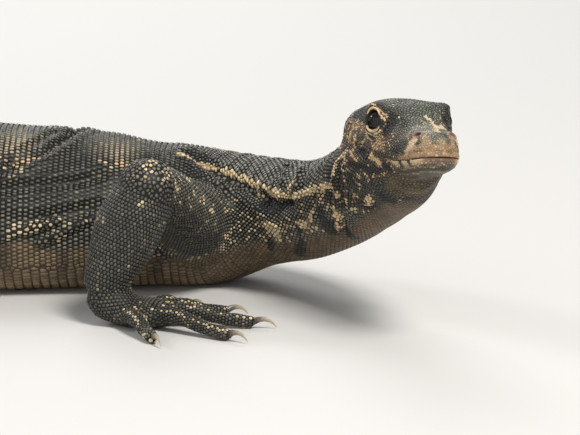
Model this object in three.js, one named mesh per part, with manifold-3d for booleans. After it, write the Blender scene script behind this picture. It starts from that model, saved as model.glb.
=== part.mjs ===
// Water monitor lizard lying at rest with its head raised and turned to its right, life size.
// Millimetres, +X the way the trunk heads, +Y the animal's left, +Z up.
// The belly, hands, feet and tail lie on the plane z = 0.
// The origin is on that plane, under the breast, midway between the shoulders.

import * as THREE from 'three';
import { mergeVertices } from 'three/addons/utils/BufferGeometryUtils.js';
import Module from 'manifold-3d';

const wasm = await Module();
wasm.setup();

// Driving dimensions
const HEAD_LENGTH = 95;
const HEAD_YAW = -74.4;
const HEAD_PITCH = 3;
const HEAD_ROLL = 3.5;
const SNOUT_TIP = [107.9, -154.6, 84.5];
const EYE_RADIUS = 5.5;
const EYE_FROM_SNOUT = 44.4;
const EYE_ASIDE = 13;
const EYE_UP = 9.7;
const EYE_TURN = { forward: 24, up: 10 };
const EYE_SIDES = 10;
const EYE_RINGS = 8;
const LID_OPENING = 4.1;
const LID_REACH = 12;
const NOSTRIL = { ahead: 84.6, aside: 9.2, up: 7.6, yaw: 52, pitch: 20, radii: [2.6, 1.9, 1.3] };
const EAR = { ahead: 11.4, aside: 17.8, up: 1.5, yaw: 0, pitch: 0, radii: [2.6, 2.4, 4] };
const CLAW_LENGTH = 9.5;
const GAP = 0.3;
const FLOOR_DEPTH = 60;

// Colours, roughness: dull slate hide, cream horn, wet dark eye.
const HIDE = { color: 0x2b2d2b, roughness: 0.62, metalness: 0 };
const HORN = { color: 0xb7a888, roughness: 0.4, metalness: 0 };
const EYE = { color: 0x120c08, roughness: 0.08, metalness: 0 };

const UP = new THREE.Vector3(0, 0, 1);
const radians = THREE.MathUtils.degToRad;

/**
 * One cross-section: its centre, half width and reach above and below the centre.
 * square and base shape its upper and lower half: 1 is an ellipse, less is boxier.
 * taper narrows it towards the top.
 */
function station(at, half, top, bottom = top, { square = 1, base = 1, taper = 0 } = {}) {
  return { at: new THREE.Vector3(...at), half, top, bottom, square, base, taper };
}

/** Smooth values between stations, with t from 0 at the first station to 1 at the last. */
class StationCurve {
  constructor(stations) {
    const spline = (pick) => new THREE.CatmullRomCurve3(stations.map(pick), false, 'catmullrom', 0.5);
    this.centre = spline((s) => s.at);
    this.girth = spline((s) => new THREE.Vector3(s.half, s.top, s.bottom));
    this.form = spline((s) => new THREE.Vector3(s.square, s.base, s.taper));
  }

  /** Centre, sideways, upward and forward directions at t. */
  frame(t) {
    const forward = this.centre.getTangent(t);
    const side = UP.clone().cross(forward).normalize();
    return { centre: this.centre.getPoint(t), forward, side, up: forward.clone().cross(side) };
  }

  /** Point of the surface at t in the direction (c, s) of the section, grown outward by grow. */
  surface(t, c, s, grow = 0) {
    const { centre, side, up } = this.frame(t);
    const girth = this.girth.getPoint(t);
    const form = this.form.getPoint(t);
    const power = s < 0 ? form.y : form.x;
    const bend = (value) => Math.sign(value) * Math.abs(value) ** power;
    const reach = (s < 0 ? girth.z : girth.y) + grow;
    const across = (girth.x + grow) * bend(c) * (1 - form.z * Math.max(s, 0));
    return centre.addScaledVector(side, across).addScaledVector(up, reach * bend(s));
  }
}

/** Manifold solid of a closed three.js geometry. */
function solid(geometry) {
  geometry.deleteAttribute('normal');
  geometry.deleteAttribute('uv');
  const merged = mergeVertices(geometry, 1e-4);
  const vertProperties = new Float32Array(merged.attributes.position.array);
  const triVerts = new Uint32Array(merged.index.array);
  return new wasm.Manifold(new wasm.Mesh({ numProp: 3, vertProperties, triVerts }));
}

/**
 * Closed loft: a drum whose rings are bent onto the stations, spans rings to each interval.
 * grow swells it all over, shape moves each point on the way, and place sets it in the model.
 */
function loft(stations, sides, spans, { grow = 0, shape = null, place = null } = {}) {
  const curve = new StationCurve(stations);
  const drum = new THREE.CylinderGeometry(1, 1, 1, sides, spans * (stations.length - 1));
  const points = drum.attributes.position;
  for (let i = 0; i < points.count; i += 1) {
    const [x, y, z] = [points.getX(i), points.getY(i), points.getZ(i)];
    const t = THREE.MathUtils.clamp(y + 0.5, 0, 1);
    const radius = Math.hypot(x, z);
    const middle = curve.centre.getPoint(t);
    const outer = radius > 0.5 ? curve.surface(t, x / radius, -z / radius, grow) : middle;
    const point = shape ? shape(outer) : outer;
    points.setXYZ(i, point.x, point.y, point.z);
  }
  if (place) drum.applyMatrix4(place);
  return solid(drum);
}

/** Ellipsoid with the given radii along the axes of a placing matrix. */
function ellipsoid(radii, place, sides, rings) {
  const ball = new THREE.SphereGeometry(1, sides, rings);
  ball.scale(...radii);
  ball.applyMatrix4(place);
  return solid(ball);
}

/** Box of the given size standing on the plane through at, on the side that normal points to. */
function boxBeyond(at, normal, size, offset) {
  const box = new THREE.BoxGeometry(size, size, size);
  box.translate(0, 0, size / 2 + offset);
  const turn = new THREE.Quaternion().setFromUnitVectors(UP, normal);
  box.applyQuaternion(turn);
  box.translate(at.x, at.y, at.z);
  return solid(box);
}

/** Parts a solid at a plane with a gap: what lies behind the plane and what lies ahead of it. */
function partAt(body, at, normal, size) {
  const ahead = body.intersect(boxBeyond(at, normal, size, GAP / 2));
  const behind = body.subtract(boxBeyond(at, normal, size, -GAP / 2));
  return { behind, ahead };
}

/** The largest of the separate pieces that a cut leaves. */
function largest(body) {
  const pieces = body.decompose().sort((a, b) => b.volume() - a.volume());
  return pieces[0];
}

/** Removes what reaches below the floor. */
function restOnFloor(body) {
  const size = 4000;
  const block = new THREE.BoxGeometry(size, size, FLOOR_DEPTH);
  block.translate(0, 0, -FLOOR_DEPTH / 2);
  return body.subtract(solid(block));
}

// Tail, trunk and neck: one row of sections from the tail's tip to inside the head.
const KEELED = { square: 0.95, base: 0.9, taper: 0.35 };
const RESTING = { base: 0.76, taper: 0.06 };
const SPINE = [
  station([-1262, -38, 2.1], 1.5, 2.2, 2.3, KEELED),
  station([-1150, 2, 4.6], 2.9, 6.2, 4.9, KEELED),
  station([-1000, 44, 7.3], 4.8, 10.2, 7.7, KEELED),
  station([-850, 68, 10.4], 7.2, 14.4, 10.9, KEELED),
  station([-700, 71, 14.2], 10.2, 18.4, 14.8, KEELED),
  station([-580, 60, 18], 14, 21.6, 18.8, { base: 0.9, taper: 0.25 }),
  station([-490, 46, 22], 19.5, 24.4, 23, { base: 0.9, taper: 0.15 }),
  station([-425, 35, 26], 26, 27, 27.2, { base: 0.85, taper: 0.08 }),
  station([-365, 24, 29], 34, 31, 30.2, { base: 0.8 }),
  station([-300, 13, 31.5], 44, 40, 32.6, RESTING),
  station([-220, 4, 33], 51, 43.5, 34.2, RESTING),
  station([-140, 0, 32.5], 51, 43, 33.8, RESTING),
  station([-87, 0, 32], 48, 41, 33.2, RESTING),
  station([-41, 0, 31.5], 43, 37.6, 32.4, RESTING),
  station([-12, 0, 31.5], 39, 32.4, 32.3, { base: 0.85, taper: 0.04 }),
  station([14, -3, 31.5], 33.5, 29.4, 31.9, { base: 0.95 }),
  station([36, -14, 34.5], 27, 25.3, 24.6, {}),
  station([55, -31, 40.5], 23.5, 20.5, 24, {}),
  station([69, -51, 49], 21.5, 18.5, 23, {}),
  station([80, -71, 60], 20.2, 18, 23.4, {}),
  station([88, -90, 70.5], 19.4, 15, 24.6, {}),
  station([94, -108, 76.5], 17.6, 12, 22.6, {}),
  station([98.5, -124, 79.5], 13.5, 7, 15, {}),
];
const SPINE_SIDES = 16;
const SPINE_SPANS = 2;

/** Point and direction of the spine above a station number, which may lie between two. */
function spineAt(number) {
  const curve = new StationCurve(SPINE);
  const { centre, forward } = curve.frame(number / (SPINE.length - 1));
  return { at: centre, normal: forward };
}

// Head: sections from the nape to the snout, in the head's own axes (ahead of the nape, up).
const HEAD_SECTIONS = [
  { ahead: -2, up: -1, half: 13.6, top: 12.2, bottom: 15, square: 0.95, taper: 0 },
  { ahead: 8, up: -0.6, half: 15.6, top: 14.4, bottom: 18, square: 0.92, taper: 0.05 },
  { ahead: 20, up: 0, half: 17, top: 16.5, bottom: 18, square: 0.88, taper: 0.14 },
  { ahead: 34, up: 0, half: 17.4, top: 18.3, bottom: 17, square: 0.78, taper: 0.2 },
  { ahead: 45, up: 0, half: 17.2, top: 18.9, bottom: 15.4, square: 0.62, taper: 0.15 },
  { ahead: 55, up: 0, half: 16.2, top: 17.9, bottom: 14, square: 0.56, taper: 0.15 },
  { ahead: 65, up: -0.4, half: 14.4, top: 14.4, bottom: 12.4, square: 0.6, taper: 0.26 },
  { ahead: 75, up: -0.8, half: 12.8, top: 11.8, bottom: 10.6, square: 0.66, taper: 0.3 },
  { ahead: 84, up: -1, half: 11.3, top: 10.2, bottom: 8.4, square: 0.7, taper: 0.28 },
  { ahead: 90, up: -1.2, half: 9.2, top: 8, bottom: 6.6, square: 0.76, taper: 0.22 },
  { ahead: 93.6, up: -1.6, half: 6.4, top: 5.2, bottom: 4.8, square: 0.84, taper: 0.12 },
  { ahead: 95, up: -2, half: 2.4, top: 1.9, bottom: 1.9, square: 0.95, taper: 0 },
];
const HEAD_SIDES = 21;
const HEAD_SPANS = 2;
const CHIN_ROUNDNESS = 0.92;

// Swellings of the head on each side: where they are, how far they spread and how far they push.
const HEAD_SWELLINGS = [
  { name: 'eyelids', at: [52, 16, 10.5], spread: [7, 6, 7], push: [0.3, 2.9, 0.4] },
  { name: 'brow', at: [51, 14, 15.5], spread: [10, 5, 4.5], push: [0, 3.5, 2.1] },
  { name: 'lid edge', at: [48.5, 16.5, 15], spread: [5, 4, 4], push: [0, 0.7, 1.1] },
  { name: 'nostril', at: [83, 8.5, 7.5], spread: [6, 4.5, 4.5], push: [0, 1.8, 1.3] },
  { name: 'cheek', at: [22, 19, -5], spread: [11, 6, 8], push: [0, 0.9, -0.3] },
];

/** Matrix from the head's axes (x ahead of the nape, y its left, z up) to the model's. */
function headMatrix() {
  const turn = new THREE.Matrix4().makeRotationZ(radians(HEAD_YAW));
  turn.multiply(new THREE.Matrix4().makeRotationY(radians(-HEAD_PITCH)));
  turn.multiply(new THREE.Matrix4().makeRotationX(radians(-HEAD_ROLL)));
  const tip = new THREE.Vector3(HEAD_LENGTH, 0, 0).applyMatrix4(turn);
  const origin = new THREE.Vector3(...SNOUT_TIP).sub(tip);
  return new THREE.Matrix4().makeTranslation(origin).multiply(turn);
}

/** Matrix of a feature of the head: moved to a place in the head's axes, then turned there. */
function onHead(ahead, aside, up, yaw = 0, pitch = 0) {
  const turn = new THREE.Matrix4().makeRotationZ(radians(yaw));
  turn.multiply(new THREE.Matrix4().makeRotationY(radians(-pitch)));
  return headMatrix().multiply(new THREE.Matrix4().makeTranslation(ahead, aside, up)).multiply(turn);
}

/** Place of an eye's centre, its x axis pointing out of the socket. side is 1 for the left. */
function eyePlace(side) {
  const yaw = side * (90 - EYE_TURN.forward);
  return onHead(HEAD_LENGTH - EYE_FROM_SNOUT, side * EYE_ASIDE, EYE_UP, yaw, EYE_TURN.up);
}

/** Moves the points of the head's loft out by its swellings, in the head's own axes. */
function swell(point) {
  const moved = point.clone();
  for (const { at, spread, push } of HEAD_SWELLINGS) {
    for (const side of [1, -1]) {
      const away = [point.x - at[0], point.y - side * at[1], point.z - at[2]];
      const reach = away.reduce((sum, value, axis) => sum + (value / spread[axis]) ** 2, 0);
      const share = Math.exp(-reach);
      moved.add(new THREE.Vector3(push[0], side * push[1], push[2]).multiplyScalar(share));
    }
  }
  return moved;
}

/** Head before it meets the neck, without its openings. */
function headShape() {
  const rows = HEAD_SECTIONS.map((s) => {
    const form = { square: s.square, base: CHIN_ROUNDNESS, taper: s.taper };
    return station([s.ahead, 0, s.up], s.half, s.top, s.bottom, form);
  });
  return loft(rows, HEAD_SIDES, HEAD_SPANS, { shape: swell, place: headMatrix() });
}

/** Ellipsoid that cuts a small opening into one side of the head. */
function openingAt({ ahead, aside, up, yaw, pitch, radii }, side) {
  return ellipsoid(radii, onHead(ahead, side * aside, up, side * yaw, pitch), 8, 6);
}

/** Cuts the eye sockets with their lid openings, the nostrils and the ear openings. */
function openHead(head) {
  let open = head;
  for (const side of [1, -1]) {
    const pocket = EYE_RADIUS + GAP;
    open = open.subtract(ellipsoid([pocket, pocket, pocket], eyePlace(side), EYE_SIDES, EYE_RINGS));
    const [outer, inner] = [LID_OPENING * 1.2, LID_OPENING * 0.9];
    const opening = new THREE.CylinderGeometry(outer, inner, LID_REACH, EYE_SIDES);
    opening.rotateZ(-Math.PI / 2);
    opening.translate(EYE_RADIUS + 0.2 * LID_REACH, 0, 0);
    opening.applyMatrix4(eyePlace(side));
    open = open.subtract(solid(opening));
    open = open.subtract(openingAt(NOSTRIL, side));
    open = open.subtract(openingAt(EAR, side));
  }
  return open;
}

// Legs: joints in the model's axes, foot heading in degrees from +X, toes from the first to fifth.
const FORE_TOES = { lengths: [22, 32, 40, 41, 28], angles: [60, 34, 6, -23, -54], spread: 10.5 };
const HIND_TOES = { lengths: [22, 33, 43, 51, 32], angles: [34, 16, -1, -20, -58], spread: 10.5 };
const FORE_GIRTHS = { root: 17, upper: 14.8, joint: 12.8, lower: 14.6, ankle: 8.6, palm: 12.2 };
const HIND_GIRTHS = { root: 24, upper: 19, joint: 14, lower: 13.4, ankle: 9.2, palm: 13.2 };
const LEGS = [
  {
    name: 'foreleg_right', segments: ['upper_arm', 'forearm', 'hand'], side: -1,
    joints: [[4, -26, 31], [-16, -83, 58.5], [-35.5, -90, 14]],
    heading: -12, palm: 27, toes: FORE_TOES, girths: FORE_GIRTHS,
  },
  {
    name: 'foreleg_left', segments: ['upper_arm', 'forearm', 'hand'], side: 1,
    joints: [[2, 24, 30], [-37, 73, 34], [-10, 107, 13]],
    heading: 24, palm: 27, toes: FORE_TOES, girths: FORE_GIRTHS,
  },
  {
    name: 'hindleg_right', segments: ['thigh', 'shank', 'foot'], side: -1,
    joints: [[-362, -4, 30], [-326, -68, 43], [-378, -97, 13]],
    heading: -28, palm: 36, toes: HIND_TOES, girths: HIND_GIRTHS,
  },
  {
    name: 'hindleg_left', segments: ['thigh', 'shank', 'foot'], side: 1,
    joints: [[-362, 50, 30], [-342, 119, 40], [-398, 139, 13]],
    heading: 22, palm: 36, toes: HIND_TOES, girths: HIND_GIRTHS,
  },
];
const PALM_HEIGHT = 5.6;
const LEG_ROOM = 400;
const TOE_RADIUS = 3.5;
const TOE_SIDES = 6;
const CLAW_SIDES = 4;
const LIMB_SIDES = 8;
const JOINT_RINGS = 6;
const TIP_ROOM = 30;

/** Round station of a limb. */
function round(at, radius) {
  return station(at.toArray(), radius, radius);
}

/** Toe and its claw, which start at a knuckle and head along a direction, parted by a gap. */
function toeAndClaw(knuckle, direction, length) {
  const row = (distance, height, half, tall) => {
    const at = knuckle.clone().addScaledVector(direction, distance).setZ(height);
    return station(at.toArray(), half, tall);
  };
  const r = TOE_RADIUS;
  const toe = [
    row(-6, 6, r * 1.1, r * 1.1),
    row(0.3 * length, 7.2, r * 1.04, r * 1.04),
    row(0.66 * length, 4.3, r * 0.92, r * 0.92),
    row(length + 1, 2.5, r * 0.8, r * 0.82),
  ];
  const claw = [
    row(length - 1, 3.1, 1.3, 1.7),
    row(length + 0.3 * CLAW_LENGTH, 4.2, 1.05, 1.4),
    row(length + 0.7 * CLAW_LENGTH, 3.7, 0.65, 0.95),
    row(length + CLAW_LENGTH, 0.9, 0.3, 0.4),
  ];
  const tip = knuckle.clone().addScaledVector(direction, length);
  return {
    toe: loft(toe, TOE_SIDES, 1).subtract(boxBeyond(tip, direction, TIP_ROOM, 0)),
    claw: loft(claw, CLAW_SIDES, 1).intersect(boxBeyond(tip, direction, TIP_ROOM, GAP)),
  };
}

/** The toes of a leg with their claws. */
function toesOf(leg) {
  const ankle = new THREE.Vector3(...leg.joints[2]);
  const heading = radians(leg.heading);
  const ahead = new THREE.Vector3(Math.cos(heading), Math.sin(heading), 0);
  const outward = UP.clone().cross(ahead).multiplyScalar(leg.side);
  const middle = ankle.clone().setZ(0).addScaledVector(ahead, leg.palm);
  return leg.toes.lengths.map((length, i) => {
    const share = (i - 2) / 2;
    const knuckle = middle.clone().addScaledVector(outward, share * leg.toes.spread);
    knuckle.addScaledVector(ahead, -Math.abs(share) * 6 - (i === 4 ? 6 : 0));
    const turn = heading - leg.side * radians(leg.toes.angles[i]);
    const direction = new THREE.Vector3(Math.cos(turn), Math.sin(turn), 0);
    return toeAndClaw(knuckle, direction, length);
  });
}

/** Whole leg as one solid, before it is parted, and its claws. */
function legShape(leg) {
  const [root, knee, ankle] = leg.joints.map((joint) => new THREE.Vector3(...joint));
  const g = leg.girths;
  const between = (a, b, share) => a.clone().lerp(b, share);
  const upperRows = [
    round(between(root, knee, -0.3), g.root * 0.6),
    round(root, g.root),
    round(between(root, knee, 0.5), g.upper),
    round(between(root, knee, 0.85), g.joint * 1.04),
    round(knee, g.joint * 0.92),
  ];
  const lowerRows = [
    round(knee, g.joint * 0.92),
    round(between(knee, ankle, 0.36), g.lower),
    round(between(knee, ankle, 0.72), g.lower * 0.84),
    round(ankle, g.ankle),
  ];
  const heading = radians(leg.heading);
  const ahead = new THREE.Vector3(Math.cos(heading), Math.sin(heading), 0);
  const palmAt = (share, height) => ankle.clone().addScaledVector(ahead, share * leg.palm).setZ(height);
  const palmRows = [
    station(palmAt(-0.18, ankle.z - 1.5).toArray(), g.ankle * 0.66, g.ankle * 0.5),
    station(palmAt(0.05, ankle.z - 3.2).toArray(), g.ankle * 1.02, g.ankle * 0.94),
    station(palmAt(0.5, PALM_HEIGHT + 1).toArray(), g.palm * 0.88, PALM_HEIGHT + 1.6),
    station(palmAt(0.92, PALM_HEIGHT).toArray(), g.palm, PALM_HEIGHT + 0.5),
    station(palmAt(1.12, PALM_HEIGHT - 0.6).toArray(), g.palm * 0.8, PALM_HEIGHT * 0.62),
  ];
  let shape = loft(upperRows, LIMB_SIDES, 1);
  shape = shape.add(loft(lowerRows, LIMB_SIDES, 1));
  const jointBall = new THREE.Matrix4().makeTranslation(knee);
  shape = shape.add(ellipsoid([g.joint, g.joint, g.joint], jointBall, LIMB_SIDES, JOINT_RINGS));
  shape = shape.add(loft(palmRows, LIMB_SIDES, 1));
  const toes = toesOf(leg);
  for (const { toe } of toes) shape = shape.add(toe);
  return { shape, claws: toes.map(({ claw }) => claw) };
}

/** Unit direction halfway between the two bones that meet at a joint. */
function bisector(before, joint, after) {
  const first = joint.clone().sub(before).normalize();
  const second = after.clone().sub(joint).normalize();
  return first.add(second).normalize();
}

/** Three.js mesh of a solid. */
function meshOf(name, body, look) {
  const { numProp, vertProperties, triVerts } = body.getMesh();
  const geometry = new THREE.BufferGeometry();
  const positions = new Float32Array((vertProperties.length / numProp) * 3);
  for (let i = 0; i < positions.length / 3; i += 1) {
    positions.set(vertProperties.subarray(i * numProp, i * numProp + 3), i * 3);
  }
  geometry.setAttribute('position', new THREE.BufferAttribute(positions, 3));
  geometry.setIndex(new THREE.BufferAttribute(new Uint32Array(triVerts), 1));
  geometry.computeVertexNormals();
  const mesh = new THREE.Mesh(geometry, new THREE.MeshStandardMaterial(look));
  mesh.name = name;
  return mesh;
}

const model = new THREE.Group();

/** Adds the head, neck, trunk and tail, parted from front to rear. */
function addBody() {
  const whole = restOnFloor(loft(SPINE, SPINE_SIDES, SPINE_SPANS).add(headShape()));
  const cuts = [
    { node: 'head', number: 18.75, size: 160 },
    { node: 'neck', number: 15.2, size: 260 },
    { node: 'trunk_front', number: 11, size: 320 },
    { node: 'trunk_rear', number: 7.3, size: 460 },
    { node: 'tail_base', number: 4.6, size: 620 },
    { node: 'tail_middle', number: 2.3, size: 700 },
  ];
  let rest = whole;
  for (const { node, number, size } of cuts) {
    const { at, normal } = spineAt(number);
    const { behind, ahead } = partAt(rest, at, normal, size);
    const piece = node === 'head' ? openHead(ahead) : ahead;
    model.add(meshOf(node, piece, HIDE));
    rest = behind;
  }
  model.add(meshOf('tail_end', rest, HIDE));
}

/** Adds both eyeballs. */
function addEyes() {
  for (const [name, side] of [['eye_left', 1], ['eye_right', -1]]) {
    const radii = [EYE_RADIUS, EYE_RADIUS, EYE_RADIUS];
    const ball = ellipsoid(radii, eyePlace(side), EYE_SIDES, EYE_RINGS);
    model.add(meshOf(name, ball, EYE));
  }
}

/** Adds the four legs, each in three nodes and five claws. */
function addLegs() {
  const clearance = loft(SPINE, SPINE_SIDES, SPINE_SPANS, { grow: GAP });
  for (const leg of LEGS) {
    const [root, knee, ankle] = leg.joints.map((joint) => new THREE.Vector3(...joint));
    const { shape, claws } = legShape(leg);
    const free = largest(restOnFloor(shape.subtract(clearance)));
    const atKnee = partAt(free, knee, bisector(root, knee, ankle), LEG_ROOM);
    const heading = radians(leg.heading);
    const toward = new THREE.Vector3(Math.cos(heading), Math.sin(heading), 0);
    const wrist = bisector(knee, ankle, ankle.clone().add(toward));
    const atAnkle = partAt(atKnee.ahead, ankle, wrist, LEG_ROOM);
    const pieces = [atKnee.behind, atAnkle.behind, atAnkle.ahead].map(largest);
    leg.segments.forEach((segment, i) => {
      model.add(meshOf(`${leg.name}_${segment}`, pieces[i], HIDE));
    });
    claws.forEach((claw, i) => {
      model.add(meshOf(`${leg.name}_claw_${i + 1}`, restOnFloor(claw), HORN));
    });
  }
}

addBody();
addEyes();
addLegs();

export default model;
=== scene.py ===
"""Water monitor lizard at life size: one hide with its lids and lips, scales, eyes and claws."""
import itertools
import logging
import math
from dataclasses import dataclass
from enum import Enum
from typing import Callable

import bmesh
import bpy
import numpy as np
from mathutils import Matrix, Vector
from mathutils.bvhtree import BVHTree
from mathutils.kdtree import KDTree


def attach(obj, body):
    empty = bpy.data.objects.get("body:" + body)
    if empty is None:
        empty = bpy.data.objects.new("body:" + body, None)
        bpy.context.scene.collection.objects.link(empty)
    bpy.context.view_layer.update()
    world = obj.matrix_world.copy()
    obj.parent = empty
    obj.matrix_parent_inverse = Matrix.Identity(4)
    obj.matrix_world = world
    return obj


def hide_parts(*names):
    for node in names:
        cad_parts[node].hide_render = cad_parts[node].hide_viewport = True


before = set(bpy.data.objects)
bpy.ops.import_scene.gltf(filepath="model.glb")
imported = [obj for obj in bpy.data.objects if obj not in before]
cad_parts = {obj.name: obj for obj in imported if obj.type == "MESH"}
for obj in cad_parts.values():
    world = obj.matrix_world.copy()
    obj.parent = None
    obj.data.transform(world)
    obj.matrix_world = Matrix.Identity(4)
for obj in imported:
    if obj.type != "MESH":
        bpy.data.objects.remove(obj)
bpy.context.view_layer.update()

Array = np.ndarray
Material, Mesh, Object = bpy.types.Material, bpy.types.Mesh, bpy.types.Object
Outputs, Socket = bpy.types.NodeOutputs, bpy.types.NodeSocket

log = logging.getLogger("lizard")

MM = 0.001
BODY = "root"
UP = np.array([0.0, 0.0, 1.0])
HEAD_LENGTH = 95.0
COAT_DEPTH = 0.45
FLOOR_CLEARANCE = 0.05
SIDES = {"left": 1, "right": -1}
TOES = 5


# Numbers and fields


def unit(vectors: Array) -> Array:
    """Vectors scaled to a length of one."""
    length = np.linalg.norm(vectors, axis=-1, keepdims=True)
    return vectors / np.maximum(length, 1e-12)


def smooth(low: float, high: float, value: Array) -> Array:
    """Smooth step from 0 at low to 1 at high; low may be the larger."""
    share = np.clip((value - low) / (high - low), 0, 1)
    return share * share * (3 - 2 * share)


def bell(value: Array, middle: float, width: float) -> Array:
    """Bell curve of height one."""
    return np.exp(-(((value - middle) / width) ** 2))


def hashed(cells: Array, seed: int) -> Array:
    """Repeatable numbers from 0 to 1 for rows of whole numbers."""
    mixed = np.full(len(cells), seed * 2654435761 + 97, dtype=np.uint64)
    for axis in range(cells.shape[1]):
        mixed ^= cells[:, axis].astype(np.int64).astype(np.uint64) * np.uint64(73856093 + 12582917 * axis)
        mixed = (mixed ^ (mixed >> np.uint64(29))) * np.uint64(0xBF58476D1CE4E5B9)
    mixed ^= mixed >> np.uint64(32)
    return (mixed & np.uint64(0xFFFFFF)).astype(float) / 0xFFFFFF


def cloud(points: Array, size: float, seed: int) -> Array:
    """Smooth noise from 0 to 1 with blobs of about the given size in millimetres."""
    place = points / size
    cell = np.floor(place)
    part = place - cell
    part = part * part * (3 - 2 * part)
    total = np.zeros(len(points))
    for corner in itertools.product((0, 1), repeat=3):
        share = np.prod(np.where(np.array(corner) == 1, part, 1 - part), axis=1)
        total += share * hashed(cell + np.array(corner), seed)
    return total


def along_spline(rows: Array, number: Array) -> tuple[Array, Array]:
    """Smooth values between rows of numbers.

    Args:
        rows: one row of values for each station.
        number: station numbers, which may lie between two stations.

    Returns:
        The values there, and their rate of change.
    """
    last = len(rows) - 1
    padded = np.vstack([2 * rows[0] - rows[1], rows, 2 * rows[-1] - rows[-2]])
    first = np.clip(np.floor(number).astype(int), 0, last - 1)
    w = (number - first)[:, None]
    a, b, c, d = (padded[first + k] for k in range(4))
    rise, fall = (c - a) / 2, (d - b) / 2
    square = 3 * (c - b) - 2 * rise - fall
    cube = 2 * (b - c) + rise + fall
    return b + w * (rise + w * (square + w * cube)), rise + w * (2 * square + 3 * w * cube)


def to_paths(points: Array, paths: list[Array]) -> Array:
    """Distance from each point to the nearest of some polylines."""
    nearest = np.full(len(points), np.inf)
    for path in paths:
        for start, end in zip(path[:-1], path[1:]):
            edge = end - start
            share = np.clip((points - start) @ edge / max(edge @ edge, 1e-9), 0, 1)
            gap = np.linalg.norm(points - start - share[:, None] * edge, axis=1)
            nearest = np.minimum(nearest, gap)
    return nearest


def columns(*values: Array) -> Array:
    """Rows of numbers from one list for each column."""
    return np.stack(values, axis=1)


def search_tree(points: Array) -> KDTree:
    """Search tree over points."""
    tree = KDTree(len(points))
    for index, point in enumerate(points.tolist()):
        tree.insert(point, index)
    tree.balance()
    return tree


def ring_faces(rings: int, sides: int, inward: bool = False) -> Array:
    """Four-cornered faces between rings of points."""
    i, j = np.meshgrid(np.arange(rings - 1), np.arange(sides), indexing="ij")
    across = (j + 1) % sides
    this, after = i * sides, (i + 1) * sides
    faces = np.stack([this + j, this + across, after + across, after + j], axis=-1)
    return faces.reshape(-1, 4)[:, [0, 3, 2, 1] if inward else [0, 1, 2, 3]]


def tube_faces(rings: int, sides: int, inward: bool = False) -> list[list[int]]:
    """Faces between rings of points and over both ends."""
    ends = [list(range(sides))[::-1], list(range((rings - 1) * sides, rings * sides))]
    return ring_faces(rings, sides, inward).tolist() + ends


# Shape of the body


@dataclass(frozen=True)
class Section:
    """One cross-section in millimetres: centre, half width, reach above and below, and form."""

    at: tuple[float, float, float]
    half: float
    top: float
    bottom: float = -1.0
    square: float = 1.0
    base: float = 1.0
    taper: float = 0.0

    def row(self) -> list[float]:
        """The section as a row of numbers."""
        bottom = self.top if self.bottom < 0 else self.bottom
        return [*self.at, self.half, self.top, bottom, self.square, self.base, self.taper]


class Loft:
    """Closed tube through sections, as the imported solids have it."""

    def __init__(self, sections: list[Section], shape: Callable | None = None,
                 turn: Array | None = None, origin: Array | None = None) -> None:
        """Keeps the sections, what shapes their points, and where they stand in the model."""
        self.rows = np.array([section.row() for section in sections])
        self.shape = shape
        self.turn = np.eye(3) if turn is None else turn
        self.origin = np.zeros(3) if origin is None else origin

    @property
    def last(self) -> int:
        """Number of the last section."""
        return len(self.rows) - 1

    def frame(self, number: Array) -> tuple[Array, ...]:
        """Values, sideways, upward and forward directions at station numbers."""
        values, rate = along_spline(self.rows, number)
        forward = unit(rate[:, :3])
        side = unit(np.cross(UP, forward))
        return values, side, np.cross(forward, side), forward

    def surface(self, number: Array, angle: Array, grow: float = 0.0) -> Array:
        """Points of the surface.

        Args:
            number: station number of each point.
            angle: angle round the section in radians, 0 to its left and a quarter turn on top.
            grow: how far the surface is moved outward.

        Returns:
            Points in the model's millimetres.
        """
        values, side, up, _ = self.frame(number)
        c, s = np.cos(angle), np.sin(angle)
        low = s < 0
        power = np.where(low, values[:, 7], values[:, 6])
        bent = [np.sign(v) * np.abs(v) ** power for v in (c, s)]
        reach = np.where(low, values[:, 5], values[:, 4]) + grow
        across = (values[:, 3] + grow) * bent[0] * (1 - values[:, 8] * np.maximum(s, 0))
        points = values[:, :3] + side * across[:, None] + up * (reach * bent[1])[:, None]
        if self.shape:
            points = self.shape(points)
        return points @ self.turn.T + self.origin

    def mesh(self, rings: int, sides: int, grow: float = 0.0) -> tuple[Array, list]:
        """Vertices and faces of the closed tube."""
        number = np.repeat(np.linspace(0, self.last, rings), sides)
        angle = np.tile(np.arange(sides) * 2 * np.pi / sides, rings)
        return self.surface(number, angle, grow), tube_faces(rings, sides)


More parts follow.
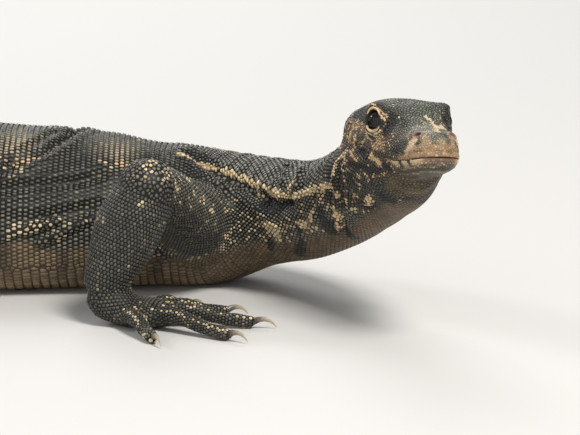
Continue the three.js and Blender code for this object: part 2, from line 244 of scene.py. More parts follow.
KEELED = {"square": 0.95, "base": 0.9, "taper": 0.35}
RESTING = {"base": 0.76, "taper": 0.06}
SPINE = [
    Section((-1262, -38, 2.1), 1.5, 2.2, 2.3, **KEELED),
    Section((-1150, 2, 4.6), 2.9, 6.2, 4.9, **KEELED),
    Section((-1000, 44, 7.3), 4.8, 10.2, 7.7, **KEELED),
    Section((-850, 68, 10.4), 7.2, 14.4, 10.9, **KEELED),
    Section((-700, 71, 14.2), 10.2, 18.4, 14.8, **KEELED),
    Section((-580, 60, 18), 14, 21.6, 18.8, base=0.9, taper=0.25),
    Section((-490, 46, 22), 19.5, 24.4, 23, base=0.9, taper=0.15),
    Section((-425, 35, 26), 26, 27, 27.2, base=0.85, taper=0.08),
    Section((-365, 24, 29), 34, 31, 30.2, base=0.8),
    Section((-300, 13, 31.5), 44, 40, 32.6, **RESTING),
    Section((-220, 4, 33), 51, 43.5, 34.2, **RESTING),
    Section((-140, 0, 32.5), 51, 43, 33.8, **RESTING),
    Section((-87, 0, 32), 48, 41, 33.2, **RESTING),
    Section((-41, 0, 31.5), 43, 37.6, 32.4, **RESTING),
    Section((-12, 0, 31.5), 39, 32.4, 32.3, base=0.85, taper=0.04),
    Section((14, -3, 31.5), 33.5, 29.4, 31.9, base=0.95),
    Section((36, -14, 34.5), 27, 25.3, 24.6),
    Section((55, -31, 40.5), 23.5, 20.5, 24),
    Section((69, -51, 49), 21.5, 18.5, 23),
    Section((80, -71, 60), 20.2, 18, 23.4),
    Section((88, -90, 70.5), 19.4, 15, 24.6),
    Section((94, -108, 76.5), 17.6, 12, 22.6),
    Section((98.5, -124, 79.5), 13.5, 7, 15),
]

CHIN_ROUNDNESS = 0.92
# Ahead of the nape, up, half width, top, bottom, square, taper.
HEAD_SECTIONS = [
    (-2, -1, 13.6, 12.2, 15, 0.95, 0), (8, -0.6, 15.6, 14.4, 18, 0.92, 0.05),
    (20, 0, 17, 16.5, 18, 0.88, 0.14), (34, 0, 17.4, 18.3, 17, 0.78, 0.2),
    (45, 0, 17.2, 18.9, 15.4, 0.62, 0.15), (55, 0, 16.2, 17.9, 14, 0.56, 0.15),
    (65, -0.4, 14.4, 14.4, 12.4, 0.6, 0.26), (75, -0.8, 12.8, 11.8, 10.6, 0.66, 0.3),
    (84, -1, 11.3, 10.2, 8.4, 0.7, 0.28), (90, -1.2, 9.2, 8, 6.6, 0.76, 0.22),
    (93.6, -1.6, 6.4, 5.2, 4.8, 0.84, 0.12), (95, -2, 2.4, 1.9, 1.9, 0.95, 0),
]
# Place, spread and push of the head's swellings, alike on both sides.
HEAD_SWELLINGS = [
    ((52, 16, 10.5), (7, 6, 7), (0.3, 2.9, 0.4)), ((51, 14, 15.5), (10, 5, 4.5), (0, 3.5, 2.1)),
    ((48.5, 16.5, 15), (5, 4, 4), (0, 0.7, 1.1)), ((83, 8.5, 7.5), (6, 4.5, 4.5), (0, 1.8, 1.3)),
    ((22, 19, -5), (11, 6, 8), (0, 0.9, -0.3)),
]


def turned(yaw: float, pitch: float, roll: float = 0.0) -> Array:
    """Rotation in degrees: a yaw about z, a pitch that lifts the x axis, a roll that drops the y axis."""
    a, b, c = math.radians(yaw), -math.radians(pitch), -math.radians(roll)
    about_z = np.array([[math.cos(a), -math.sin(a), 0], [math.sin(a), math.cos(a), 0], [0, 0, 1]])
    about_y = np.array([[math.cos(b), 0, math.sin(b)], [0, 1, 0], [-math.sin(b), 0, math.cos(b)]])
    about_x = np.array([[1, 0, 0], [0, math.cos(c), -math.sin(c)], [0, math.sin(c), math.cos(c)]])
    return about_z @ about_y @ about_x


def swollen(points: Array) -> Array:
    """Points of the head moved out by its swellings, in the head's own axes."""
    moved = points.copy()
    for at, spread, push in HEAD_SWELLINGS:
        for side in SIDES.values():
            mirror = np.array([1, side, 1])
            away = (points - np.array(at) * mirror) / np.array(spread)
            moved += np.exp(-(away ** 2).sum(axis=1))[:, None] * np.array(push) * mirror
    return moved


class HeadAxes:
    """The head's own axes: x ahead of the nape, y to its left, z up."""

    turn = turned(-74.4, 3, 3.5)
    origin = np.array([107.9, -154.6, 84.5]) - turn @ np.array([HEAD_LENGTH, 0, 0])

    @classmethod
    def out(cls, points: Array) -> Array:
        """Points from the head's axes to the model's."""
        return np.asarray(points, float) @ cls.turn.T + cls.origin

    @classmethod
    def into(cls, points: Array) -> Array:
        """Points from the model's axes to the head's."""
        return (points - cls.origin) @ cls.turn

    @staticmethod
    def around(local: Array, start: float, aside: float, tall: float) -> Array:
        """True for points in a box round the head: ahead of its start, and near its middle line."""
        return (local[:, 0] > start) & (np.abs(local[:, 1]) < aside) & (np.abs(local[:, 2]) < tall)


@dataclass(frozen=True)
class Leg:
    """One leg: its joints, foot heading, toes and girths in millimetres."""

    name: str
    side: int
    joints: tuple
    heading: float
    palm: float
    lengths: tuple
    angles: tuple
    girths: dict

    spread = 10.5
    palm_height = 5.6
    toe_radius = 3.5
    claw_length = 9.5

    def _axes(self) -> tuple[Array, Array]:
        """Directions ahead along the foot and out to its fifth toe's side."""
        heading = math.radians(self.heading)
        ahead = np.array([math.cos(heading), math.sin(heading), 0])
        return ahead, np.cross(UP, ahead) * self.side

    def heading_way(self) -> Array:
        """Direction ahead along the foot."""
        return self._axes()[0]

    @staticmethod
    def _limb(start: Array, way: Array, steps: list[tuple]) -> Loft:
        """Round tube through (share of the way, radius) steps."""
        return Loft([Section(tuple(start + way * share), radius, radius) for share, radius in steps])

    def upper(self) -> Loft:
        """Upper arm or thigh, from inside the body to the elbow or knee."""
        root, knee = (np.array(p, float) for p in self.joints[:2])
        g = self.girths
        return self._limb(root, knee - root, [(-0.3, g["root"] * 0.6), (0, g["root"]), (0.5, g["upper"]),
                                              (0.85, g["joint"] * 1.04), (1, g["joint"] * 0.92)])

    def lower(self) -> Loft:
        """Forearm or shank."""
        knee, ankle = (np.array(p, float) for p in self.joints[1:])
        g = self.girths
        return self._limb(knee, ankle - knee, [(0, g["joint"] * 0.92), (0.36, g["lower"]),
                                               (0.72, g["lower"] * 0.84), (1, g["ankle"])])

    def joint(self) -> Loft:
        """Rounding at the elbow or knee."""
        knee = np.array(self.joints[1], float)
        radius = self.girths["joint"]
        steps = [(x, radius * math.sqrt(max(1 - x * x, 0.002))) for x in np.linspace(-0.999, 0.999, 9)]
        return self._limb(knee, np.array([radius, 0, 0]), steps)

    def palm_loft(self) -> Loft:
        """Hand or foot up to the knuckles."""
        ankle = np.array(self.joints[2], float)
        ahead, _ = self._axes()
        h, g = self.palm_height, self.girths
        steps = [(-0.18, ankle[2] - 1.5, g["ankle"] * 0.66, g["ankle"] * 0.5),
                 (0.05, ankle[2] - 3.2, g["ankle"] * 1.02, g["ankle"] * 0.94),
                 (0.5, h + 1, g["palm"] * 0.88, h + 1.6), (0.92, h, g["palm"], h + 0.5),
                 (1.12, h - 0.6, g["palm"] * 0.8, h * 0.62)]
        sections = []
        for share, height, half, tall in steps:
            x, y, _ = ankle + ahead * share * self.palm
            sections.append(Section((x, y, height), half, tall))
        return Loft(sections)

    def _knuckle(self, index: int) -> tuple[Array, Array]:
        """Start of a toe on the floor's plane, and its direction."""
        ahead, outward = self._axes()
        share = (index - 2) / 2
        knuckle = np.array(self.joints[2], float) * (1, 1, 0) + ahead * self.palm
        knuckle += outward * share * self.spread
        knuckle -= ahead * (abs(share) * 6 + (6 if index == TOES - 1 else 0))
        turn = math.radians(self.heading - self.side * self.angles[index])
        return knuckle, np.array([math.cos(turn), math.sin(turn), 0])

    def _row(self, index: int, steps: list[tuple]) -> Loft:
        """Tube along a toe through (distance, height, half width, half height) steps."""
        knuckle, direction = self._knuckle(index)
        sections = []
        for distance, height, half, tall in steps:
            x, y, _ = knuckle + direction * distance
            sections.append(Section((x, y, height), half, tall))
        return Loft(sections)

    def toe(self, index: int) -> Loft:
        """One toe."""
        r, length = self.toe_radius, self.lengths[index]
        return self._row(index, [
            (-6, 6, r * 1.1, r * 1.1), (0.3 * length, 7.2, r * 1.04, r * 1.04),
            (0.66 * length, 4.3, r * 0.92, r * 0.92), (length - 1.2, 2.8, r * 0.81, r * 0.83),
            (length, 2.7, r * 0.54, r * 0.58)])

    def claw(self, index: int) -> Loft:
        """One claw, from inside the toe's end to its point."""
        c, length = self.claw_length, self.lengths[index]
        return self._row(index, [
            (length - 2.5, 2.8, 1.3, 1.6), (length, 3.3, 1.25, 1.7),
            (length + 0.2 * c, 4.0, 1.1, 1.5), (length + 0.45 * c, 4.25, 0.85, 1.2),
            (length + 0.74 * c, 3.4, 0.56, 0.8), (length + 0.92 * c, 1.9, 0.3, 0.42),
            (length + c, 0.8, 0.12, 0.15)])


FORE = {"lengths": (22, 32, 40, 41, 28), "angles": (60, 34, 6, -23, -54), "palm": 27,
        "girths": {"root": 17, "upper": 14.8, "joint": 12.8, "lower": 14.6, "ankle": 8.6, "palm": 12.2}}
HIND = {"lengths": (22, 33, 43, 51, 32), "angles": (34, 16, -1, -20, -58), "palm": 36,
        "girths": {"root": 24, "upper": 19, "joint": 14, "lower": 13.4, "ankle": 9.2, "palm": 13.2}}
LEGS = [
    Leg("foreleg_right", -1, ((4, -26, 31), (-16, -83, 58.5), (-35.5, -90, 14)), -12, **FORE),
    Leg("foreleg_left", 1, ((2, 24, 30), (-37, 73, 34), (-10, 107, 13)), 24, **FORE),
    Leg("hindleg_right", -1, ((-362, -4, 30), (-326, -68, 43), (-378, -97, 13)), -28, **HIND),
    Leg("hindleg_left", 1, ((-362, 50, 30), (-342, 119, 40), (-398, 139, 13)), 22, **HIND),
]


class Body:
    """All the tubes that make the lizard's flesh, and where a point lies on them."""

    samples_per_section = 40

    def __init__(self) -> None:
        """Builds the tubes and the table of the spine's frames."""
        head = [Section((x, 0, z), half, top, low, square, CHIN_ROUNDNESS, taper)
                for x, z, half, top, low, square, taper in HEAD_SECTIONS]
        self.spine = Loft(SPINE)
        self.head = Loft(head, swollen, HeadAxes.turn, HeadAxes.origin)
        count = self.spine.last * self.samples_per_section + 1
        self._numbers = np.linspace(0, self.spine.last, count)
        self._frames = self.spine.frame(self._numbers)
        self._tree = search_tree(self._frames[0][:, :3])

    def along(self, points: Array) -> tuple[Array, Array, Array]:
        """Where points lie along the spine.

        Args:
            points: points in the model's millimetres.

        Returns:
            Station numbers, angles from the back's midline in degrees from 0 to 180,
            and distances from the middle as shares of the section.
        """
        found = np.array([self._tree.find(point)[1] for point in points.tolist()])
        values, side, up, forward = (part[found] for part in self._frames)
        away = points - values[:, :3]
        numbers = self._numbers[found]
        step = np.linalg.norm(along_spline(self.spine.rows, numbers)[1][:, :3], axis=1)
        numbers = np.clip(numbers + (away * forward).sum(axis=1) / step, 0, self.spine.last)
        across = (away * side).sum(axis=1) / values[:, 3]
        height = (away * up).sum(axis=1)
        height = height / np.where(height < 0, values[:, 5], values[:, 4])
        return numbers, np.degrees(np.abs(np.arctan2(across, height))), np.hypot(across, height)

    def tubes(self) -> list[tuple[Loft, int, int]]:
        """Every tube of flesh with its rings and sides."""
        tubes = [(self.spine, 420, 96), (self.head, 150, 120)]
        for leg in LEGS:
            tubes += [(leg.upper(), 40, 40), (leg.lower(), 34, 36), (leg.joint(), 26, 36),
                      (leg.palm_loft(), 24, 36)]
            tubes += [(leg.toe(index), 36, 20) for index in range(TOES)]
        return tubes


# Meshes


def new_object(name: str, points: Array, faces: list) -> Object:
    """Smooth-shaded mesh object from points in millimetres."""
    mesh = bpy.data.meshes.new(name)
    mesh.from_pydata((np.asarray(points) * MM).tolist(), [], faces)
    mesh.shade_smooth()
    piece = bpy.data.objects.new(name, mesh)
    bpy.context.scene.collection.objects.link(piece)
    return piece


def as_one(parts: list[tuple[Array, list]]) -> tuple[Array, list]:
    """Points and faces of several meshes as those of one."""
    faces, offset = [], 0
    for points, corners in parts:
        faces += [[v + offset for v in face] for face in corners]
        offset += len(points)
    return np.vstack([points for points, _ in parts]), faces


def coordinates(mesh: Mesh, what: str = "co") -> Array:
    """Vertex places in millimetres, or vertex normals."""
    values = np.zeros(len(mesh.vertices) * 3, np.float32)
    mesh.vertices.foreach_get(what, values)
    return values.reshape(-1, 3).astype(float) / (MM if what == "co" else 1)


def triangles_of(mesh: Mesh) -> Array:
    """Corner numbers of a mesh's triangles."""
    mesh.calc_loop_triangles()
    corners = np.zeros(len(mesh.loop_triangles) * 3, np.int32)
    mesh.loop_triangles.foreach_get("vertices", corners)
    return corners.reshape(-1, 3)


def normals_of(points: Array, triangles: Array) -> Array:
    """Smooth vertex normals."""
    a, b, c = (points[triangles[:, k]] for k in range(3))
    face = np.cross(b - a, c - a)
    total = np.zeros_like(points)
    for corner in range(3):
        for axis in range(3):
            total[:, axis] += np.bincount(triangles[:, corner], face[:, axis], len(points))
    return unit(total)


def put_attribute(mesh: Mesh, name: str, values: Array) -> None:
    """Stores one number or four numbers for each vertex."""
    kind = "FLOAT" if values.ndim == 1 else "FLOAT_COLOR"
    attribute = mesh.attributes.new(name, kind, "POINT")
    attribute.data.foreach_set("value" if values.ndim == 1 else "color",
                               values.astype(np.float32).ravel())


class Surface:
    """Triangles that can be sampled and found, with smooth normals."""

    def __init__(self, points: Array, triangles: Array, normals: Array) -> None:
        """Keeps the mesh and builds its search tree."""
        self.points, self.triangles, self.normals = points, triangles, normals
        self.tree = BVHTree.FromPolygons(points.tolist(), triangles.tolist())
        a, b, c = (points[triangles[:, k]] for k in range(3))
        self.areas = np.linalg.norm(np.cross(b - a, c - a), axis=1) / 2

    def nearest(self, points: Array) -> tuple[Array, ...]:
        """Nearest places on the surface, their smooth normals, how far they are, and the faces."""
        hits = [self.tree.find_nearest(point) for point in points.tolist()]
        place = np.array([hit[0] for hit in hits])
        face = np.array([hit[2] for hit in hits])
        return place, self._normal(place, face), np.array([hit[3] for hit in hits]), face

    def _normal(self, place: Array, face: Array) -> Array:
        """Normals at places on given faces, blended from the corners."""
        corners = self.triangles[face]
        a, b, c = (self.points[corners[:, k]] for k in range(3))
        whole = np.cross(b - a, c - a)
        area = np.maximum((whole ** 2).sum(axis=1), 1e-12)
        u = (np.cross(c - b, place - b) * whole).sum(axis=1) / area
        v = (np.cross(a - c, place - c) * whole).sum(axis=1) / area
        weights = np.clip(columns(u, v, 1 - u - v), 0, 1)
        return unit(sum(weights[:, k, None] * self.normals[corners[:, k]] for k in range(3)))

    def scattered(self, count: int, random: np.random.Generator, faces: Array) -> tuple[Array, Array]:
        """Random places spread evenly over some faces, with normals."""
        chance = self.areas[faces] / self.areas[faces].sum()
        face = random.choice(faces, size=count, p=chance)
        u, v = random.random(count), random.random(count)
        flip = u + v > 1
        u[flip], v[flip] = 1 - u[flip], 1 - v[flip]
        a, b, c = (self.points[self.triangles[face, k]] for k in range(3))
        place = a + (b - a) * u[:, None] + (c - a) * v[:, None]
        return place, self._normal(place, face)

    def cast(self, origin: Array, direction: Array) -> Array:
        """Distances along rays to the surface, not a number where a ray misses."""
        hits = [self.tree.ray_cast(o, d) for o, d in zip(origin.tolist(), direction.tolist())]
        return np.array([math.nan if hit[3] is None else hit[3] for hit in hits])


# Fine skin laid on the hide round the openings


@dataclass(frozen=True)
class Grid:
    """A fine piece of skin: points, faces, and what each point is."""

    points: Array
    faces: Array
    bare: Array
    shown: Array


class Opening:
    """Round opening in the hide with a fine rim, seen along an axis that points out of it."""

    rings = 36
    spokes = 72
    push = 4.0
    # Height over the centre from which rays look for the hide.
    cast_from = 25.0

    def __init__(self, centre: Array, axes: Array, reach: float) -> None:
        """Keeps the place, the axes (out, across, up as columns) and the outer radius."""
        self.centre, self.axes, self.reach = centre, axes, reach

    def local(self, points: Array) -> Array:
        """Points as (out, across, up) from the centre."""
        return (points - self.centre) @ self.axes

    def sunk(self, points: Array) -> Array:
        """How far points of the hide under the rim are pushed in, from 0 to 1."""
        place = self.local(points)
        radius = np.hypot(place[:, 1], place[:, 2])
        share = smooth(self.reach - 0.6, self.reach - 2.4, radius)
        return share * (np.abs(place[:, 0] - self.level()) < 9)

    def level(self) -> float:
        """Usual distance of the hide from the centre along the axis."""
        return 0.0

    def height(self, radius: Array, turn: Array, skin: Array) -> Array:
        """Height of the rim over the centre, given that of the hide."""
        raise NotImplementedError

    def bare(self, radius: Array, turn: Array) -> Array:
        """How far the rim is without scales, from 0 to 1."""
        raise NotImplementedError

    def inner(self, turn: Array) -> Array:
        """Smallest radius of the rim."""
        return np.full(len(turn), 0.02)

    def grid(self, hide: Surface) -> Grid:
        """The rim's fine skin, laid on the hide."""
        turn = np.arange(self.spokes) * 2 * np.pi / self.spokes
        share, a = (v.ravel() for v in np.meshgrid(np.linspace(0, 1, self.rings), turn, indexing="ij"))
        inner = self.inner(a)
        r = inner + (self.reach - inner) * share
        flat = columns(np.full_like(r, self.cast_from), r * np.cos(a), r * np.sin(a))
        start = flat @ self.axes.T + self.centre
        way = np.tile(-self.axes[:, 0], (len(r), 1))
        skin = self.cast_from - hide.cast(start, way)
        skin = np.where(np.isnan(skin), self.level(), skin)
        edge = smooth(self.reach - 1.0, self.reach, r) * 0.5
        flat[:, 0] = self.height(r, a, skin) - edge
        points = flat @ self.axes.T + self.centre
        faces = ring_faces(self.rings, self.spokes, True)
        return Grid(points, faces, self.bare(r, a), (r > inner + 0.3) & (r < self.reach - 0.8))


@dataclass(frozen=True)
class EyePlace:
    """Where an eye sits in the head."""

    side: int
    radius = 5.5
    opening = 4.1
    narrowness = 0.87
    ahead = HEAD_LENGTH - 44.4
    aside = 13.0
    up = 9.7
    forward_turn = 24.0
    upward_turn = 10.0

    def centre(self) -> Array:
        """Centre of the eyeball in the model."""
        return HeadAxes.out(np.array([self.ahead, self.side * self.aside, self.up]))

    def axes(self) -> Array:
        """Columns: out of the socket, across, up."""
        return HeadAxes.turn @ turned(self.side * (90 - self.forward_turn), self.upward_turn)

    def oval(self, turn: Array) -> Array:
        """How much further than the opening's height a place counts, by its direction."""
        return np.hypot(np.cos(turn) / self.narrowness, np.sin(turn))


class Eyelids(Opening):
    """Both lids of an eye: thick folded rings round the opening."""

    fold = 1.45

    def __init__(self, eye: EyePlace) -> None:
        """Takes its place from the eye."""
        super().__init__(eye.centre(), eye.axes(), 9.6)
        self.eye = eye

    def level(self) -> float:
        """The hide lies about this far over the eye's centre."""
        return 6.0

    def inner(self, turn: Array) -> Array:
        """The lids' edge."""
        return (self.eye.opening - 0.25) / self.eye.oval(turn)

    def height(self, radius: Array, turn: Array, skin: Array) -> Array:
        """Rolls of the lids, rising from the eyeball to the hide."""
        low = smooth(0.4, -0.8, np.sin(turn))
        front = smooth(-0.7, 0.5, -self.eye.side * np.cos(turn))
        start = radius * self.eye.oval(turn) - self.eye.opening
        ball = math.sqrt(self.eye.radius ** 2 - self.eye.opening ** 2)
        rim = ball + 0.75 * smooth(-0.25, 0.15, start) - 0.35 * smooth(0, -0.25, start)
        climb = smooth(0.3, 4.4, start)
        rolls = np.cos(2 * np.pi * (start - 0.8) / self.fold)
        fade = smooth(4.8, 1.8, start) * smooth(0.0, 0.4, start) * (0.35 + 0.65 * np.maximum(front, low))
        base = rim * (1 - climb) + skin * climb
        return base + rolls * fade * (0.2 + 0.14 * low) + 0.3 * bell(start, 0.8, 0.7) * (1 - low)

    def bare(self, radius: Array, turn: Array) -> Array:
        """The innermost rolls are smooth."""
        start = radius * self.eye.oval(turn) - self.eye.opening
        return smooth(2.6, 2.2, start + 0.5 * np.sin(turn))


@dataclass(frozen=True)
class PitForm:
    """Sizes of a pit on the head's left side.

    Its place, its yaw and pitch, its outer radius, the tilt and the half sizes of its oval, its depth,
    where its wall ends and starts, its rim's rise and radius, where its smooth skin ends, and how far
    the hide lies over its centre.
    """

    at: tuple[float, float, float]
    turn: tuple[float, float]
    reach: float
    tilt: float
    oval: tuple[float, float]
    depth: float
    wall: tuple[float, float]
    rim: tuple[float, float]
    smooth_to: tuple[float, float]
    level: float = 0.0

    def place(self, side: int) -> Array:
        """Its centre in the head's axes."""
        return np.array(self.at) * (1, side, 1)


NOSTRIL = PitForm(at=(83.9, 7, 7.2), turn=(48, 34), reach=4.6, tilt=0.5, oval=(0.95, 0.72), depth=2.6,
                  wall=(1.75, 0.75), rim=(0.46, 2.15), smooth_to=(2.9, 2.4), level=1.5)
EAR = PitForm(at=(11.4, 17.4, 1.5), turn=(90, 0), reach=6.6, tilt=0, oval=(0.85, 1.25), depth=1.7,
              wall=(3.3, 2.3), rim=(0.3, 3.7), smooth_to=(3.3, 2.9))


class Pit(Opening):
    """Oval nostril or ear opening with a low raised rim."""

    def __init__(self, form: PitForm, side: int) -> None:
        """Turns it out of the head."""
        yaw, pitch = form.turn
        axes = HeadAxes.turn @ turned(side * yaw, pitch)
        super().__init__(HeadAxes.out(form.place(side)), axes, form.reach)
        self.form = form

    def level(self) -> float:
        """The hide lies close to the centre."""
        return self.form.level

    def _oval(self, radius: Array, turn: Array) -> Array:
        """Radius measured in the tilted oval."""
        wide, tall = self.form.oval
        turn = turn - self.form.tilt
        return radius * np.hypot(np.cos(turn) / wide, np.sin(turn) / tall)

    def height(self, radius: Array, turn: Array, skin: Array) -> Array:
        """Pit with a rim."""
        oval = self._oval(radius, turn)
        rise, at = self.form.rim
        return skin - self.form.depth * smooth(*self.form.wall, oval) + rise * bell(oval, at, 0.6)

    def bare(self, radius: Array, turn: Array) -> Array:
        """Smooth inside and on the rim."""
        return smooth(*self.form.smooth_to, self._oval(radius, turn))


class Mouth:
    """Closed mouth: a groove with full lips from corner to corner."""

    reach = 3.2
    push = 2.6
    steps = 330
    rows = 35
    # Distance out from the line from which rays look for the hide.
    cast_from = 10
    # Ahead, aside and height of the line between the lips, from a corner to the snout's tip.
    line = [(34, 18.5, -2.1), (40, 18, -1.4), (46, 17.5, -1.4), (52, 16.7, -2.1), (57, 15.7, -3.0),
            (62.5, 14.3, -4.1), (68.5, 13, -4.6), (76, 12, -3.9), (84, 10.4, -2.7), (90.5, 8, -1.3),
            (94, 4.4, -0.6), (95, 0, -0.4)]

    def __init__(self) -> None:
        """Spreads the line from the left corner to the right one."""
        left = np.array(self.line, float)
        right = left[-2::-1] * (1, -1, 1)
        whole = np.vstack([left, right])
        fine, _ = along_spline(whole, np.linspace(0, len(whole) - 1, 2000))
        length = np.concatenate([[0], np.cumsum(np.linalg.norm(np.diff(fine, axis=0), axis=1))])
        at = np.linspace(0, length[-1], self.steps)
        self.path = np.stack([np.interp(at, length, fine[:, k]) for k in range(3)], axis=1)
        self.share = at / length[-1]

    def sunk(self, points: Array) -> Array:
        """How far points of the hide behind the lips are pushed in, from 0 to 1."""
        local = HeadAxes.into(points)
        near = np.flatnonzero((local[:, 0] > 28) & (np.abs(local[:, 2] + 1.5) < 7))
        share = np.zeros(len(points))
        flat = local[near][:, None] - self.path[None, ::4, :]
        gap = np.linalg.norm(flat, axis=2).min(axis=1) if len(near) else np.zeros(0)
        share[near] = smooth(self.reach - 0.5, self.reach - 1.8, gap)
        return share

    def grid(self, hide: Surface) -> Grid:
        """The lips' fine skin, laid on the hide."""
        drop = np.linspace(-1, 1, self.rows)
        drop = np.sign(drop) * np.abs(drop) ** 1.5 * self.reach
        way = np.gradient(self.path, axis=0) * (1, 1, 0)
        outward = unit(columns(way[:, 1], -way[:, 0], way[:, 2]))
        outward *= np.sign((outward * (self.path - (60, 0, 0))).sum(axis=1))[:, None]
        tip = slice(self.steps // 2 - 40, self.steps // 2 + 40)
        outward[tip, 0] = np.abs(outward[tip, 0])
        base = np.repeat(self.path, self.rows, axis=0)
        out = np.repeat(outward, self.rows, axis=0)
        v = np.tile(drop, self.steps)
        base = base + columns(np.zeros_like(v), np.zeros_like(v), v)
        start = HeadAxes.out(base + out * self.cast_from)
        distance = hide.cast(start, -out @ HeadAxes.turn.T)
        distance = np.where(np.isnan(distance), self.cast_from, distance)
        share = np.repeat(self.share, self.rows)
        share = np.minimum(share, 1 - share)
        ends, front = smooth(0, 0.05, share), smooth(0.3, 0.46, share)
        relief = 0.2 * bell(v, 1.0, 0.9) + 0.16 * bell(v, -0.9, 0.65)
        relief -= (1.5 + 0.3 * front) * bell(v, 0, 0.2)
        edge = 0.5 * smooth(self.reach - 0.9, self.reach, np.abs(v))
        edge = edge + 0.5 * (1 - smooth(0, 0.02, share))
        raised = self.cast_from - distance + relief * ends - edge
        points = HeadAxes.out(base + out * raised[:, None])
        i, j = np.meshgrid(np.arange(self.steps - 1), np.arange(self.rows - 1), indexing="ij")
        n = self.rows
        quads = np.stack([i * n + j, i * n + j + 1, (i + 1) * n + j + 1, (i + 1) * n + j], axis=-1)
        bare = smooth(0.75 + 0.6 * front, 0.5 + 0.5 * front, v)
        bare = bare * smooth(-0.85 - 0.8 * front, -0.6 - 0.7 * front, v)
        shown = (np.abs(v) < self.reach - 0.6) & (share > 0.01)
        return Grid(points, quads.reshape(-1, 4), bare, shown)


# Folds of the hide


@dataclass(frozen=True)
class Crease:
    """A fold: a groove along paths, with a soft swell on each side."""

    paths: list
    depth: float
    width: float
    on_head: bool = False

    def move(self, points: Array, normals: Array) -> Array:
        """Points moved by the fold."""
        paths = [HeadAxes.out(p) if self.on_head else np.array(p, float) for p in self.paths]
        low = np.min([p.min(axis=0) for p in paths], axis=0) - 4 * self.width
        high = np.max([p.max(axis=0) for p in paths], axis=0) + 4 * self.width
        near = np.flatnonzero(((points > low) & (points < high)).all(axis=1))
        if not len(near):
            return points
        gap = to_paths(points[near], paths)
        form = bell(gap, 0, self.width) - 0.45 * bell(gap, 2.0 * self.width, 0.8 * self.width)
        points[near] -= normals[near] * (self.depth * form)[:, None]
        return points


def mirrored(path: list) -> list:
    """A path of the head and its mirror image."""
    return [np.array(path, float), np.array(path, float) * (1, -1, 1)]


CREASES = [
    Crease(mirrored([(66, 9.5, 12.4), (60, 12.6, 13), (54, 15.6, 15), (46, 15.6, 15.4)]), 0.7, 1.2, True),
    Crease(mirrored([(46, 18.4, -4.5), (38, 19.4, -5.2), (30, 20, -3.8), (24, 20.2, -1)]), 0.9, 1.8, True),
    Crease(mirrored([(58, 15.6, -6.6), (48, 17.2, -9.5), (36, 18, -11), (24, 18.5, -10)]), 0.8, 2.0, True),
    Crease(mirrored([(30, 19, 2.8), (20, 19.4, 4.2), (12, 18.6, 6.5)]), 0.6, 1.5, True),
    Crease([[(1, -10, 62), (5, -16, 59), (12, -21, 55), (20, -26, 52), (28, -34, 48),
             (37, -45, 46)]], 2.2, 2.8),
    Crease([[(1, 10, 62), (6, 16, 59), (14, 20, 55), (22, 21, 50), (32, 16, 44)]], 1.4, 3.0),
    Crease([[(35, -43, 45), (40, -49, 43.5), (46, -55, 47)]], 2.2, 3.6),
    Crease([[(45, -25, 59), (44.5, -38, 58), (43, -46, 53)],
            [(52, -40, 62.5), (51, -52, 59), (50, -57, 55)]], -2.0, 1.7),
    Crease([[(67, -88, 70), (65, -86, 62), (66, -86, 56), (66, -81, 49), (67, -78, 43),
             (68, -73, 38)]], -1.3, 1.7),
    Crease([[(71, -94, 59), (71, -92, 54), (73, -91, 50)], [(77, -100, 56), (80, -106, 57)]], -0.9, 1.5),
    Crease([[(58, -70, 55), (57, -68, 49), (57, -64, 42)]], 1.3, 2.0),
    Crease([[(45, -32, 15), (42, -36, 18), (40, -44, 26)]], -0.8, 2.0),
    Crease([[(-48, 4, 71), (-52, -3, 70), (-58, -16, 68), (-64, -24, 65), (-73, -31, 61), (-81, -35, 58),
             (-92, -38, 54)]], 1.9, 2.6),
    Crease([[(-60, -6, 71), (-67, -19, 68), (-73, -26, 64), (-79, -31, 61)]], 1.4, 2.2),
    Crease([[(-39, -32, 55), (-48, -35, 53), (-59, -38, 52), (-74, -40, 51), (-92, -42, 49)]], 1.6, 2.4),
    Crease([[(-40, -41, 43), (-52, -42, 40), (-66, -44, 38), (-86, -45, 37)]], 1.3, 2.2),
    Crease([[(-42, -42, 37), (-50, -43, 33.5), (-57, -44, 30.5), (-66, -45, 27)]], -1.7, 1.7),
    Crease([[(-58, -44, 36), (-65, -45, 34), (-74, -46, 32), (-84, -47, 29)]], -1.5, 1.7),
    Crease([[(-52, 5, 70), (-60, 18, 68), (-68, 28, 63), (-80, 36, 57), (-95, 40, 51)]], 1.4, 2.8),
    Crease([[(-36, 34, 53), (-50, 38, 50), (-66, 41, 47), (-86, 43, 44)]], 1.1, 2.6),
    Crease([[(-300, -34, 52), (-286, -42, 44), (-276, -46, 34)],
            [(-300, 60, 52), (-286, 54, 44), (-276, 48, 34)]], 1.2, 3.0),
]


# The hide


